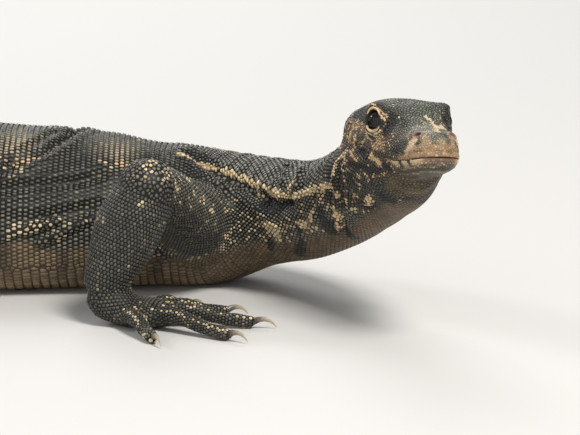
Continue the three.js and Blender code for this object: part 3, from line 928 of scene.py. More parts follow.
class Hide:
    """The one skin of the lizard, made from its tubes, with its lids, nostrils, ears and lips."""

    voxel = 1.5
    most_triangles = 120000
    fillet_rounds = 36
    lump = 0.5
    # Share of the full push up to which sunk skin still counts as shown.
    most_sunk = 0.25

    def __init__(self, body: Body) -> None:
        """Builds the skin's mesh and the surface that the scales stand on."""
        self.body = body
        piece = self._joined()
        self._refine_head(piece)
        self._write(piece.data, self._folded(coordinates(piece.data), triangles_of(piece.data)))
        self._thin(piece)
        mesh = piece.data
        points, triangles, self.bare, shown = self._with_openings(coordinates(mesh), triangles_of(mesh))
        points[:, 2] = np.maximum(points[:, 2], COAT_DEPTH)
        bpy.data.objects.remove(piece)
        self.points = points
        shown_faces = shown[triangles].all(axis=1)
        self.surface = Surface(points, triangles[shown_faces], normals_of(points, triangles))
        self.bare_faces = self.bare[triangles[shown_faces]].mean(axis=1)
        self.piece = new_object("hide", points, triangles.tolist())

    def _joined(self) -> Object:
        """All tubes joined to one smooth skin, inside the solids by the coat's depth."""
        parts = [tube.mesh(rings, sides, -COAT_DEPTH) for tube, rings, sides in self.body.tubes()]
        rough = new_object("hide_rough", *as_one(parts))
        remesh = rough.modifiers.new("join", "REMESH")
        remesh.mode, remesh.voxel_size = "VOXEL", self.voxel * MM
        graph = bpy.context.evaluated_depsgraph_get()
        mesh = bpy.data.meshes.new_from_object(rough.evaluated_get(graph))
        bpy.data.objects.remove(rough)
        points, triangles = coordinates(mesh), triangles_of(mesh)
        edges = np.zeros(len(mesh.edges) * 2, np.int32)
        mesh.edges.foreach_get("vertices", edges)
        points = self._filleted(points, triangles, edges.reshape(-1, 2))
        self._write(mesh, points)
        piece = bpy.data.objects.new("hide_base", mesh)
        bpy.context.scene.collection.objects.link(piece)
        return piece

    @staticmethod
    def _write(mesh: Mesh, points: Array) -> None:
        """Puts points in millimetres back into a mesh."""
        mesh.vertices.foreach_set("co", (points * MM).astype(np.float32).ravel())
        mesh.update()

    def _filleted(self, points: Array, triangles: Array, edges: Array) -> Array:
        """Smooths the skin, and fills the creases where tubes meet."""
        a, b = edges[:, 0], edges[:, 1]
        degree = np.bincount(a, minlength=len(points)) + np.bincount(b, minlength=len(points))

        def mean() -> Array:
            """Middle of each point's neighbours."""
            total = [np.bincount(a, points[b, k], len(points)) + np.bincount(b, points[a, k], len(points))
                     for k in range(3)]
            return np.stack(total, axis=1) / degree[:, None]

        for _ in range(2):
            points = points + 0.5 * (mean() - points)
            points = points - 0.53 * (mean() - points)
        toes = smooth(15, 11, points[:, 2]) * smooth(60, 70, np.abs(points[:, 1] - 15))
        strength = 1 - 0.85 * toes
        for step in range(self.fillet_rounds):
            if step % 6 == 0:
                normals = normals_of(points, triangles)
            away = mean() - points
            hollow = (away * normals).sum(axis=1)
            points = points + away * (0.6 * strength * smooth(0.004, 0.03, hollow))[:, None]
        return points

    @staticmethod
    def _refine_head(piece: Object) -> None:
        """Halves the faces of the head."""
        tool = bmesh.new()
        tool.from_mesh(piece.data)
        points = HeadAxes.into(coordinates(piece.data))
        inside = HeadAxes.around(points, 4, 24, 30)
        edges = [edge for edge in tool.edges
                 if inside[edge.verts[0].index] and inside[edge.verts[1].index]]
        bmesh.ops.subdivide_edges(tool, edges=edges, cuts=1, use_grid_fill=True)
        tool.to_mesh(piece.data)
        tool.free()

    def _folded(self, points: Array, triangles: Array) -> Array:
        """Adds the folds and the unevenness of loose skin."""
        normals = normals_of(points, triangles)
        for crease in CREASES + self._lumps():
            points = crease.move(points, normals)
        number, down, _ = self.body.along(points)
        neck = smooth(14.6, 15.6, number) * smooth(19.6, 18.6, number)
        wave = np.sin(number * 17 + 2.2 * cloud(points, 18, 5)) * smooth(130, 70, down)
        trunk = smooth(8, 10, number) * smooth(15, 13.5, number)
        loose = (cloud(points, 16, 8) - 0.5) * trunk * 1.4
        points += normals * (0.34 * wave * neck + loose + 0.3 * (cloud(points, 9, 11) - 0.5))[:, None]
        return points

    def _lumps(self) -> list[Crease]:
        """Low swellings under the neck's pale marks."""
        lumps = []
        for mark in NECK_MARKS:
            if mark.pale > 0:
                number, down = np.array(mark.path, float).T
                ways = [math.pi / 2 + side * np.radians(down) for side in (1, -1)]
                paths = [self.body.spine.surface(number, way) for way in ways]
                lumps.append(Crease(paths, -self.lump * min(mark.width, 1.6), 0.8 + 0.6 * mark.width))
        return lumps

    def _thin(self, piece: Object) -> None:
        """Takes triangles away where the skin is flat."""
        count = len(triangles_of(piece.data))
        if count <= self.most_triangles:
            return
        thin = piece.modifiers.new("thin", "DECIMATE")
        thin.ratio = self.most_triangles / count
        graph = bpy.context.evaluated_depsgraph_get()
        mesh = bpy.data.meshes.new_from_object(piece.evaluated_get(graph))
        piece.modifiers.clear()
        piece.data = mesh

    def _with_openings(self, points: Array, triangles: Array) -> tuple:
        """Sinks the skin under the fine rims and adds them."""
        base = Surface(points, triangles, normals_of(points, triangles))
        openings = [Mouth()]
        for side in SIDES.values():
            openings += [Eyelids(EyePlace(side)), Pit(NOSTRIL, side), Pit(EAR, side)]
        grids = [opening.grid(base) for opening in openings]
        sunk = np.zeros(len(points))
        moved = points.copy()
        for opening in openings:
            share = opening.sunk(points)
            inward = -base.normals if isinstance(opening, Mouth) else -opening.axes[:, 0]
            moved += inward * (share * opening.push)[:, None]
            sunk = np.maximum(sunk, share)
        all_points, all_triangles = [moved], [triangles]
        bare, shown = [np.zeros(len(points))], [sunk < self.most_sunk]
        offset = len(points)
        for grid in grids:
            all_points.append(grid.points)
            all_triangles.append(np.vstack([grid.faces[:, [0, 1, 2]], grid.faces[:, [0, 2, 3]]]) + offset)
            bare.append(grid.bare)
            shown.append(grid.shown)
            offset += len(grid.points)
        return (np.vstack(all_points), self._outward(all_points, all_triangles, base),
                np.concatenate(bare), np.concatenate(shown))

    @staticmethod
    def _outward(points: list, triangles: list, base: Surface) -> Array:
        """Turns the faces of each added grid to look out."""
        whole = np.vstack(points)
        turned_right = [triangles[0]]
        for part in triangles[1:]:
            a, b, c = (whole[part[:, k]] for k in range(3))
            facing = unit(np.cross(b - a, c - a))
            some = np.arange(0, len(part), max(1, len(part) // 60))
            normal = base.nearest(a[some])[1]
            right = (facing[some] * normal).sum() > 0
            turned_right.append(part if right else part[:, ::-1])
        return np.vstack(turned_right)


# Markings


@dataclass(frozen=True)
class Mark:
    """One mark along a path, and the pigments that it brings."""

    path: list
    width: float
    pale: float = 0.0
    warm: float = 0.5
    even: float = 0.0
    # Lightening of scale tops: partly paler keratin, partly painted highlight.
    tip: float = 0.2
    blush: float = 0.0
    both: bool = True


# Paths in the head's axes in millimetres.
HEAD_MARKS = [
    Mark([(12, 12, 11), (26, 14, 11.5), (40, 15.4, 10.5)], 4.6, tip=0.15),
    Mark([(9, 14.8, 3.7), (18, 15.6, 4.9), (25, 15.7, 5.6), (35, 15.7, 6.2), (41, 16.8, 5.4)], 1.6, 0.55,
         0.9, 0.6),
    Mark([(54, 15.6, 15.7), (56.6, 14.2, 14.4), (58.6, 12.6, 13.1), (60.4, 11.6, 12.2)], 0.5, tip=0.05,
         even=1),
    Mark([(48, 16, 17.9), (52.4, 15.7, 17.1), (55.8, 14.2, 15.7), (58, 12.7, 14.4), (60.3, 11.1, 13)], 0.62,
         0.85, 0.75, 0.4),
    Mark([(60.3, 10.8, 14.1), (62.3, 9.6, 13.1), (65, 8.4, 12.5)], 0.6, 0.8, 0.1, 0.3),
    Mark([(60.8, 12.1, 11.6), (63.6, 11.2, 10.7), (62.9, 12.6, 8.5), (61.4, 14.2, 5.8)], 1.9, tip=0.2),
    Mark([(85.6, 9.4, 5.4), (84.3, 10.1, 3.9), (83.4, 10.8, 2.3), (82.4, 11.3, 0.9)], 1.8, 1, 0.1, 1,
         blush=0.3),
    Mark([(72, 13.4, 0.2), (75, 12.6, 1.6), (79, 11.4, 3.2)], 2.6, tip=0.4),
    Mark([(65.6, 1.4, 13.6), (68.1, 2.3, 12.6), (70.7, 3.1, 11.7), (73, 2.9, 11)], 0.85, 1, 0.3, 1,
         both=False),
    Mark([(74.6, 2.9, 10.6), (76.1, 3.9, 10.1), (74.4, 5.8, 9.8), (71, 7.9, 9.6)], 1.9, 1, 0.3, 1,
         blush=0.1, both=False),
    Mark([(77, 2.9, 10.2), (81.1, 1.9, 9.4), (83, 2.1, 9)], 1, 0.85, 0.5, 0.9, both=False),
    Mark([(37, 18.6, -4), (44, 17.8, -4.4), (49.6, 17.4, -5)], 2, tip=0.3),
    Mark([(52, 16.6, -5.1), (54.9, 15, -6.6), (57.2, 14.3, -8.1)], 1.7, 0.9, 0.6, 0.9),
    Mark([(65.6, 12.1, -6.8), (64.9, 10.8, -9.5)], 1, 0.6, 0.4, 0.8),
    Mark([(29, 18.8, -5.3), (35, 19.3, -6.8), (38.5, 19, -8.8)], 1.3, 0.8, 0.9, 0.8),
    Mark([(60, 14, -7.2), (62.9, 13, -8), (63.5, 11.9, -9.7)], 1.4, tip=0.15),
    Mark([(30, 19, -10.5), (38.9, 18, -10.3), (46.9, 16.6, -11.1), (57.6, 14.3, -10.5)], 1.7, tip=0.2),
    Mark([(46.3, 17, -13.8), (52.5, 15.1, -13.4), (59.9, 13.2, -11.5)], 0.6, 0.7, 0.6, 0.7),
    Mark([(35.3, 18.6, -15.6), (42, 17.5, -14.8)], 0.8, 0.7, 0.6, 0.7),
    Mark([(50, 11, -21), (53, 7, -24)], 2, tip=0.1),
]
# Paths on a lid in millimetres from the eye's axis: towards the snout, and up.
LID_MARKS = [
    Mark([(-3.9, 2.4), (-2.9, 4.1), (-1, 5), (1.6, 4.7), (3.7, 3.3), (5.6, 1.7), (7.8, 0.8)], 0.5, 0.95,
         0.4, 0.9),
    Mark([(-4.6, 4.6), (-2.5, 6.4), (0.3, 6.2), (3.1, 4.8), (5.6, 3.3), (8.2, 2)], 0.34, 0.8, 0.95, 0.9),
    Mark([(-2.9, -3.3), (-1.9, -4.5), (0.9, -5), (3.8, -4.1), (4.9, -2.6)], 0.58, 0.9, 0.5, 0.9),
    Mark([(2.6, -5.9), (5, -5), (6.9, -3.6)], 0.4, 0.85, 0.5, 0.9),
    Mark([(-4.6, -5.2), (0.4, -6.3), (2.8, -6.9), (5, -6.7)], 0.28, 0.6, 0.05, 0.9),
]
# Paths along the spine: station number, and degrees down from the middle of the back.
NECK_MARKS = [
    Mark([(14.3, 20), (15.05, 28), (15.57, 34), (16.13, 43), (16.57, 52), (16.97, 64), (17.33, 71),
          (17.72, 82), (18.35, 84), (18.82, 90), (19.1, 95), (19.4, 88), (19.58, 79), (19.7, 66)],
         1.5, 0.95, 0.3, 0.8),
    Mark([(16.55, 58), (16.7, 68), (16.83, 81)], 1.3, 0.85, 0.54, 0.75),
    Mark([(17.55, 74), (17.67, 64), (17.8, 56)], 0.9, 0.75, 0.24, 0.75),
    Mark([(16.8, 104), (17.05, 108), (16.9, 117)], 2.5, 0.9, 0.12, 0.75),
    Mark([(17.75, 116), (18, 116), (18.2, 111)], 1.8, 0.9, 0.48, 0.75),
    Mark([(18.33, 97), (18.25, 106), (18.18, 112)], 1, 0.7, 0.42, 0.75),
    Mark([(18.62, 92), (18.62, 102)], 1, 0.7, 0.42, 0.75),
    Mark([(18.95, 119), (18.78, 130), (18.53, 143)], 1.3, 0.85, 0.54, 0.8),
    Mark([(19.2, 95), (19.26, 101), (19.25, 109)], 1.1, 0.9, 0.36, 0.8),
    Mark([(19.54, 119), (19.35, 124)], 1.1, 0.85, 0.42, 0.8),
    Mark([(19.4, 132), (19.5, 134)], 1.2, 0.95, 0.24, 0.8),
    Mark([(19.95, 133), (20.2, 137), (20.45, 134)], 0.9, 0.85, 0.36, 0.8),
    Mark([(19.95, 64), (19.9, 76), (19.8, 90)], 1.2, 0.75, 0.48, 0.75),
    Mark([(19.75, 100), (19.8, 112), (19.9, 122)], 0.8, 0.7, 0.54, 0.75),
    Mark([(20.3, 106), (20.5, 118)], 0.8, 0.6, 0.48, 0.75),
    Mark([(17.6, 122), (17.3, 138), (17, 152)], 1.8, tip=0.2),
    Mark([(16.7, 117), (16.55, 134)], 1.5, tip=0.2),
    Mark([(18.45, 112), (18.35, 122), (18.3, 136)], 3, tip=0.2),
    Mark([(18.6, 146), (18.4, 168)], 2.2, tip=0.2),
    # Painted shade: a dark mark along the hollow of the fold at the neck's side.
    Mark([(16.75, 78), (17.2, 87), (17.6, 88)], 2.6, tip=0.15),
]


@dataclass
class Pigments:
    """How much of each colour the hide holds at some points, from 0 to 1; tip lightens scale tops, partly
    as a painted highlight.
    """

    pale: Array
    warm: Array
    earth: Array
    moss: Array
    tip: Array
    blush: Array
    even: Array

    def colours(self) -> Array:
        """The four main pigments as one row for each point."""
        return np.clip(columns(self.pale, self.warm, self.earth, self.moss), 0, 1)

    def solid(self) -> Array:
        """Where a pale mark covers the scales and the skin between them alike."""
        return np.clip(self.even, 0, 1) * smooth(0.5, 0.85, self.pale) * (0.55 + 0.45 * self.even)

    def blend(self, share: Array, **values: object) -> None:
        """Moves some pigments towards given values by a share."""
        for name, value in values.items():
            now = getattr(self, name)
            setattr(self, name, now + (value - now) * share)

    def lay(self, mark: Mark, share: Array) -> None:
        """Puts a mark on by a share."""
        self.blend(share, pale=mark.pale, earth=0.0, moss=0.0, tip=mark.tip, blush=mark.blush,
                   even=mark.even)
        if mark.pale > 0:
            self.blend(share, warm=mark.warm)


class Markings:
    """The lizard's pattern: the same rules colour the hide and the scales."""

    row_spacing = 46.0
    first_row = -32.0
    belly_line = ((0, 112), (7, 108), (9, 104), (12, 100), (13, 106), (14.2, 114), (15.2, 117), (16.2, 119),
                  (16.7, 125), (17.3, 132), (18.0, 137), (18.5, 147), (20.4, 150), (20.9, 130), (22, 118))
    # The left lid's pale marks are dimmed as painted shade from the brow.
    lid_strength_with_shade = {1: 0.2, -1: 1.0}
    arm_flecks = ((-15, -90, 68), (-7, -87, 66), (-1, -70, 59), (6, -59, 52), (11, -51, 44))

    def __init__(self, body: Body) -> None:
        """Keeps the body that the pattern is laid on, and the lines of its toes' pale beads."""
        self.body = body
        self.station_x = body.spine.rows[:, 0]
        step = np.linalg.norm(np.diff(body.spine.rows[:, :3], axis=0), axis=1)
        self.station_length = np.concatenate([[0], np.cumsum(step)])
        self.toe_lines = []
        for leg in LEGS:
            for index in range(TOES):
                toe = leg.toe(index)
                number = np.linspace(0.4, toe.last - 0.3, 6)
                for turn in (0.27, 0.73):
                    self.toe_lines.append(toe.surface(number, np.full(6, turn * math.pi)))

    def of_scales(self, points: Array) -> Pigments:
        """Pigments of scales at their roots, where a scale is mostly pale or dark as a whole."""
        marks = self.of_skin(points)
        single = hashed(np.round(points * 50), 3)
        grouped = 0.55 * cloud(points, 2.6, 61) + 0.45 * single
        rank = 1 / (1 + np.exp(-(grouped - 0.5) / 0.095))
        level = 0.7 + 0.3 * hashed(np.round(points * 40), 9)
        broken = smooth(rank - 0.1, rank + 0.14, marks.pale) * level
        marks.pale = broken + (marks.pale * (0.85 + 0.3 * single) - broken) * marks.even
        # Lighter tops, partly painted highlight, vary from scale to scale.
        marks.tip = marks.tip * (0.55 + 0.9 * hashed(np.round(points * 30), 5))
        return marks

    def of_skin(self, points: Array) -> Pigments:
        """Pigments of the skin, each the usual share of the scales there that hold it."""
        number, down, radius = self.body.along(points)
        local = HeadAxes.into(points)
        marks = self._trunk(points, number, down)
        self._legs(marks, points, radius)
        on_head = smooth(1, 9, local[:, 0]) * (np.abs(local[:, 1]) < 26) * (np.abs(local[:, 2]) < 32)
        head = self._head(points, local)
        marks.blend(on_head, **vars(head))
        self._line_neck(marks, points, number, down, smooth(1.4, 1.15, radius))
        return marks

    def _trunk(self, points: Array, number: Array, down: Array) -> Pigments:
        """Pattern of the tail, trunk and neck."""
        fine, broad = cloud(points, 3.2, 21), cloud(points, 9, 22)
        x = np.interp(number, np.arange(len(self.station_x)), self.station_x)
        on_neck = smooth(14.5, 15.4, number)
        on_tail = smooth(7.6, 6.6, number)
        on_trunk = (1 - on_tail) * (1 - smooth(13.6, 14.4, number))
        line = np.interp(number, *np.array(self.belly_line).T)
        under = smooth(line - 4, line + 4, down + 7 * (broad - 0.5) + 4 * (fine - 0.5))
        half = self.row_spacing / 2
        wrap = (x - self.first_row + half + 7 * (broad - 0.5)) % self.row_spacing - half
        rows = bell(wrap, 0, 8) * np.maximum(bell(down, 27, 20), 0.7 * bell(down, 75, 22))
        flank = smooth(66, 82, down) * smooth(10, 12.2, number) * (1 - on_neck)
        columns = bell(wrap, 0, 9) * bell(down, 27, 17) * on_trunk
        strong = smooth(0.35, 0.65, cloud(points, 34, 24)) * smooth(0.3, 0.6, fine)
        dots = bell(wrap, 0, 6) * (bell(down, 43, 5) + 0.7 * bell(down, 84, 9)) * strong
        pale = on_trunk * (0.8 * dots + 0.01) + 0.5 * columns
        tail_wrap = (x + 14 * (broad - 0.5)) % 36 - 18
        pale += on_tail * 0.8 * bell(tail_wrap, 0, 4.0) * smooth(4, 30, down) * smooth(0.25, 0.6, fine)
        side = smooth(64, 78, down) * on_neck * smooth(19.3, 18.6, number)
        crests = [np.array(path, float) for crease in CREASES if crease.depth < 0 for path in crease.paths
                  if path[0][0] < 0]
        near = np.flatnonzero(on_trunk * (down > 40) > 0.5)
        crest = np.zeros(len(points))
        crest[near] = bell(to_paths(points[near], crests), 0, 2.2)
        pale = pale + 0.5 * crest
        beads = side * (0.12 + 0.26 * smooth(0.45, 0.65, broad))
        chest = smooth(12.9, 14.2, number) * (1 - on_neck) * smooth(60, 80, down) * 0.24
        pale = np.maximum(pale, np.maximum(beads, chest)) * (1 - under)
        belly_bars = bell((x + 5 * (broad - 0.5)) % 23 - 11.5, 0, 2.6) * smooth(line + 38, line + 8, down)
        belly = under * (1 - on_neck) * (0.28 - 0.1 * smooth(10, 14, number)) * (1 - 0.7 * belly_bars)
        belly = belly + 0.3 * under * smooth(125, 165, down) * (1 - on_neck)
        pale = np.maximum(pale, belly)
        warm = 0.12 + 0.12 * on_neck + 0.3 * (fine - 0.5) + 0.1 * on_tail + 0.25 * under
        earth = under * (0.9 - 0.3 * on_tail - 0.5 * belly_bars * (1 - on_neck))
        low_down = np.maximum(flank, np.maximum(side, chest * 4))
        # Lighter scale tops, partly paler keratin, partly painted highlight, strongest on flanks, neck and
        # the trunk's rows.
        tip = 0.46 + 0.5 * rows * on_trunk + 0.42 * on_neck + 0.45 * low_down
        tip = tip * (1 - under) * (0.7 + 0.6 * fine) - 0.15 * on_tail
        moss = (0.12 + 0.2 * (broad - 0.5)) * (1 - under)
        warm = warm + 0.6 * bell(down, 43, 6) * on_trunk * (1 - under)
        even = np.maximum(0.97 * under, 0.95 * smooth(0.05, 0.3, columns) * smooth(40, 36, down))
        return Pigments(pale, warm, earth, moss, np.clip(tip, 0, 1), np.zeros(len(points)), even)

    def _line_neck(self, marks: Pigments, points: Array, number: Array, down: Array,
                   on_skin: Array) -> None:
        """Lays the marks of the neck's sides on, measured along and round it."""
        stations = np.arange(len(self.station_x))
        girth = self.body.spine.rows[:, 3:6].mean(axis=1)

        def flat(n: Array, turn: Array) -> Array:
            """Places unrolled to millimetres along the neck and round it."""
            return columns(np.interp(n, stations, self.station_length),
                           np.radians(turn) * np.interp(n, stations, girth))

        near = np.flatnonzero((number > 14) & (number < 20.9))
        place = flat(number[near], down[near])
        uneven = 2.2 * (cloud(points[near], 3.2, 21) - 0.5) + 1.6 * (cloud(points[near], 1.5, 26) - 0.5)
        share = np.zeros(len(points))
        for mark in NECK_MARKS:
            gap = to_paths(place, [flat(*np.array(mark.path, float).T)]) + uneven
            share[near] = smooth(mark.width + 0.5, mark.width - 0.5, gap) * on_skin[near]
            marks.lay(mark, share)

    def _legs(self, marks: Pigments, points: Array, radius: Array) -> None:
        """Pattern of the legs, which fades into that of the trunk."""
        share = np.zeros(len(points))
        for leg in LEGS:
            joints = [np.array(p, float) for p in leg.joints]
            toes = joints[2] * (1, 1, 0) + leg.heading_way() * leg.palm * 2.2 + (0, 0, 5)
            share = np.maximum(share, smooth(34, 26, to_paths(points, [np.array([*joints, toes])])))
        share = share * smooth(1.0, 1.3, radius)
        fine, broad = cloud(points, 2.6, 31), cloud(points, 9.0, 32)
        foot = smooth(24, 14, points[:, 2])
        flecks = bell(to_paths(points, [np.array(self.arm_flecks, float)]), 0, 7)
        near = np.flatnonzero((points[:, 2] < 22) & (share > 0.5))
        beads = np.zeros(len(points))
        beads[near] = smooth(1.15, 0.6, to_paths(points[near], self.toe_lines))
        flecked = flecks * smooth(0.25, 0.55, fine)
        pale = 0.015 + 0.05 * smooth(0.62, 0.8, broad) + 0.02 * foot + 0.34 * flecked
        pale = np.maximum(pale, 0.62 * beads)
        sole = smooth(3.0, 1.0, points[:, 2])
        # The tip value lightens the legs' scale tops, partly as painted highlight.
        marks.blend(share, pale=pale * (1 - sole), warm=0.15, earth=0.5 * sole, moss=0.1,
                    tip=(0.36 + 0.64 * flecks + 0.3 * beads) * (1 - sole), blush=0.0, even=0.0)

    def _head(self, points: Array, local: Array) -> Pigments:
        """Pattern of the head."""
        x, y, z = local.T
        fine, broad = cloud(points, 1.6, 41), cloud(points, 3.6, 42)
        crown = smooth(8.0, 12.5, z + 0.09 * (x - 50))
        snout = smooth(64, 74, x)
        lower = smooth(-9, -14, z)
        edge = x + 7 * (broad - 0.5) + 4 * (fine - 0.5)
        throat = lower * np.maximum(smooth(55, 61, edge), smooth(10, 7, np.abs(y)) * smooth(-22, -26, z))
        cheek = (1 - crown) * (1 - lower)
        mottled = cheek * np.maximum(smooth(68, 60, x) * smooth(-4, -1, z), 0.3) * (1 - snout)
        patches = smooth(0.45, 0.56, 0.5 * broad + 0.5 * fine)
        muzzle = smooth(72, 80, x) * (1 - lower)
        pale = 0.04 * crown + mottled * (0.08 + 0.72 * patches) + 0.08 * lower * (1 - throat)
        pale = pale + 0.4 * muzzle * smooth(0.4, 0.62, 0.7 * broad + 0.3 * fine) + 0.08 * snout * cheek
        warm = 0.1 * crown + 0.7 * cheek + 0.5 * lower
        earth = 0.3 * cheek + 0.35 * mottled + 0.85 * throat + 0.15 * muzzle * cheek
        moss = 0.85 * crown + 0.3 * cheek * snout
        # Lighter scale tops, partly paler keratin, partly painted highlight, most on the cheeks and the
        # side of the snout.
        tip = 0.4 * crown + cheek * (0.55 + 0.45 * snout - 0.45 * muzzle) + lower * (0.4 - 0.3 * throat)
        even = np.maximum(np.maximum(0.7 * mottled, muzzle), 0.6 * throat)
        marks = Pigments(pale, warm, earth, moss, tip, np.zeros(len(points)), even)
        mouth = np.interp(x, [m[0] for m in Mouth.line], [m[2] for m in Mouth.line])
        over = z - mouth
        reach = np.interp(x, [74, 80, 85, 91, 95], [0.8, 1.8, 3.0, 5.2, 6.2])
        lip = smooth(70, 78, x) * smooth(reach + 1.4, reach - 1.0, over + 3 * (broad - 0.5)) * (over > -0.2)
        marks.blend(lip, pale=0.42 + 0.3 * (fine - 0.5), earth=1.0, warm=1.4, moss=0.0, tip=0.1, even=1.0)
        marks.blend(lip * smooth(1.0, 0.2, over), blush=0.25, pale=0.15)
        low_lip = smooth(0, 0.5, -over) * smooth(3.8, 1.6, -over) * smooth(60, 70, x) * smooth(95, 92, x)
        bars = np.maximum(bell(x, 75.5, 1.5), bell(x, 83.5, 1.3))
        marks.blend(low_lip, pale=0.8 * (1 - bars), earth=0.5 * (1 - bars), warm=0.35, tip=0.2, moss=0.0,
                    even=0.9)
        inner = bell(-over, 1.1, 1.0) * smooth(90, 94.5, x)
        marks.blend(inner, blush=0.22, pale=0.06, warm=0.6, earth=0.5, even=0.9)
        chin = smooth(2.4, 3.6, -over) * smooth(-18, -13, z) * smooth(60, 70, x)
        # Painted light and shade of fine wrinkles along the jaw: paler crests and darker grooves.
        wrinkle_light_and_shade = bell((-over + 1.6 * (broad - 0.5)) % 2.3 - 1.15, 0, 0.42)
        marks.blend(chin, pale=0.34 * wrinkle_light_and_shade, earth=0.62 - 0.4 * (1 - wrinkle_light_and_shade), moss=0.15, warm=0.4,
                    tip=0.1 + 0.35 * wrinkle_light_and_shade, even=0.95)
        for mark in HEAD_MARKS:
            path = np.array(mark.path, float)
            paths = [path, path * (1, -1, 1)] if mark.both else [path]
            gap = to_paths(local, paths) + 1.4 * (fine - 0.5)
            marks.lay(mark, smooth(mark.width + 0.3, mark.width - 0.5, gap))
        for side in SIDES.values():
            self._lids(marks, points, EyePlace(side))
            ring = smooth(3.0, 2.0, np.linalg.norm(local - NOSTRIL.place(side), axis=1))
            marks.blend(ring, blush=0.42, pale=0.05, earth=0.2, tip=0.0, even=1.0)
        return marks

    def _lids(self, marks: Pigments, points: Array, eye: EyePlace) -> None:
        """Marks of the lids on dark skin, weaker on the left eye as painted shade from its brow."""
        place = (points - eye.centre()) @ eye.axes()
        flat = columns(-eye.side * place[:, 1], place[:, 2])
        radius = np.hypot(*flat.T)
        near = (place[:, 0] > -2) * smooth(8.6, 7.6, radius)
        marks.blend(near, pale=0.0, earth=0.05, moss=0.0, tip=0.25, blush=0.0, warm=0.4, even=0.5)
        strength = (place[:, 0] > -3) * smooth(9.6, 8.8, radius) * self.lid_strength_with_shade[eye.side]
        for mark in LID_MARKS:
            marks.lay(mark, strength * smooth(mark.width + 0.12, mark.width - 0.12, to_paths(flat, [
                np.array(mark.path, float)])))


# Scales


class Lie(Enum):
    """Which way along a tube its scales point."""

    TO_START = -1
    TO_END = 1


@dataclass
class Roots:
    """Where scales stand: place, normal, direction, spacing, length to width, map place and piece."""

    place: Array
    normal: Array
    lie: Array
    size: Array
    aspect: Array
    patch: Array
    piece: Array

    @classmethod
    def joined(cls, parts: list["Roots"]) -> "Roots":
        """Several lots of roots as one."""
        return cls(*(np.concatenate([getattr(part, name) for part in parts]) for name in vars(parts[0])))

    def chosen(self, which: Array) -> "Roots":
        """Some of the roots."""
        return Roots(*(values[which] for values in vars(self).values()))


PIECES = ["scales_tail_end", "scales_tail_middle", "scales_tail_base", "scales_trunk_rear",
          "scales_trunk_middle", "scales_trunk_front", "scales_neck", "scales_head_left",
          "scales_head_right"] + [f"scales_{leg.name}" for leg in LEGS]
HEAD_PIECES = (7, 8)
FIRST_LEG_PIECE = 9
# Station numbers of the spine where its pieces end.
SPINE_PIECE_ENDS = [2.4, 4.8, 7.2, 9.3, 11.4, 15.0, 23]


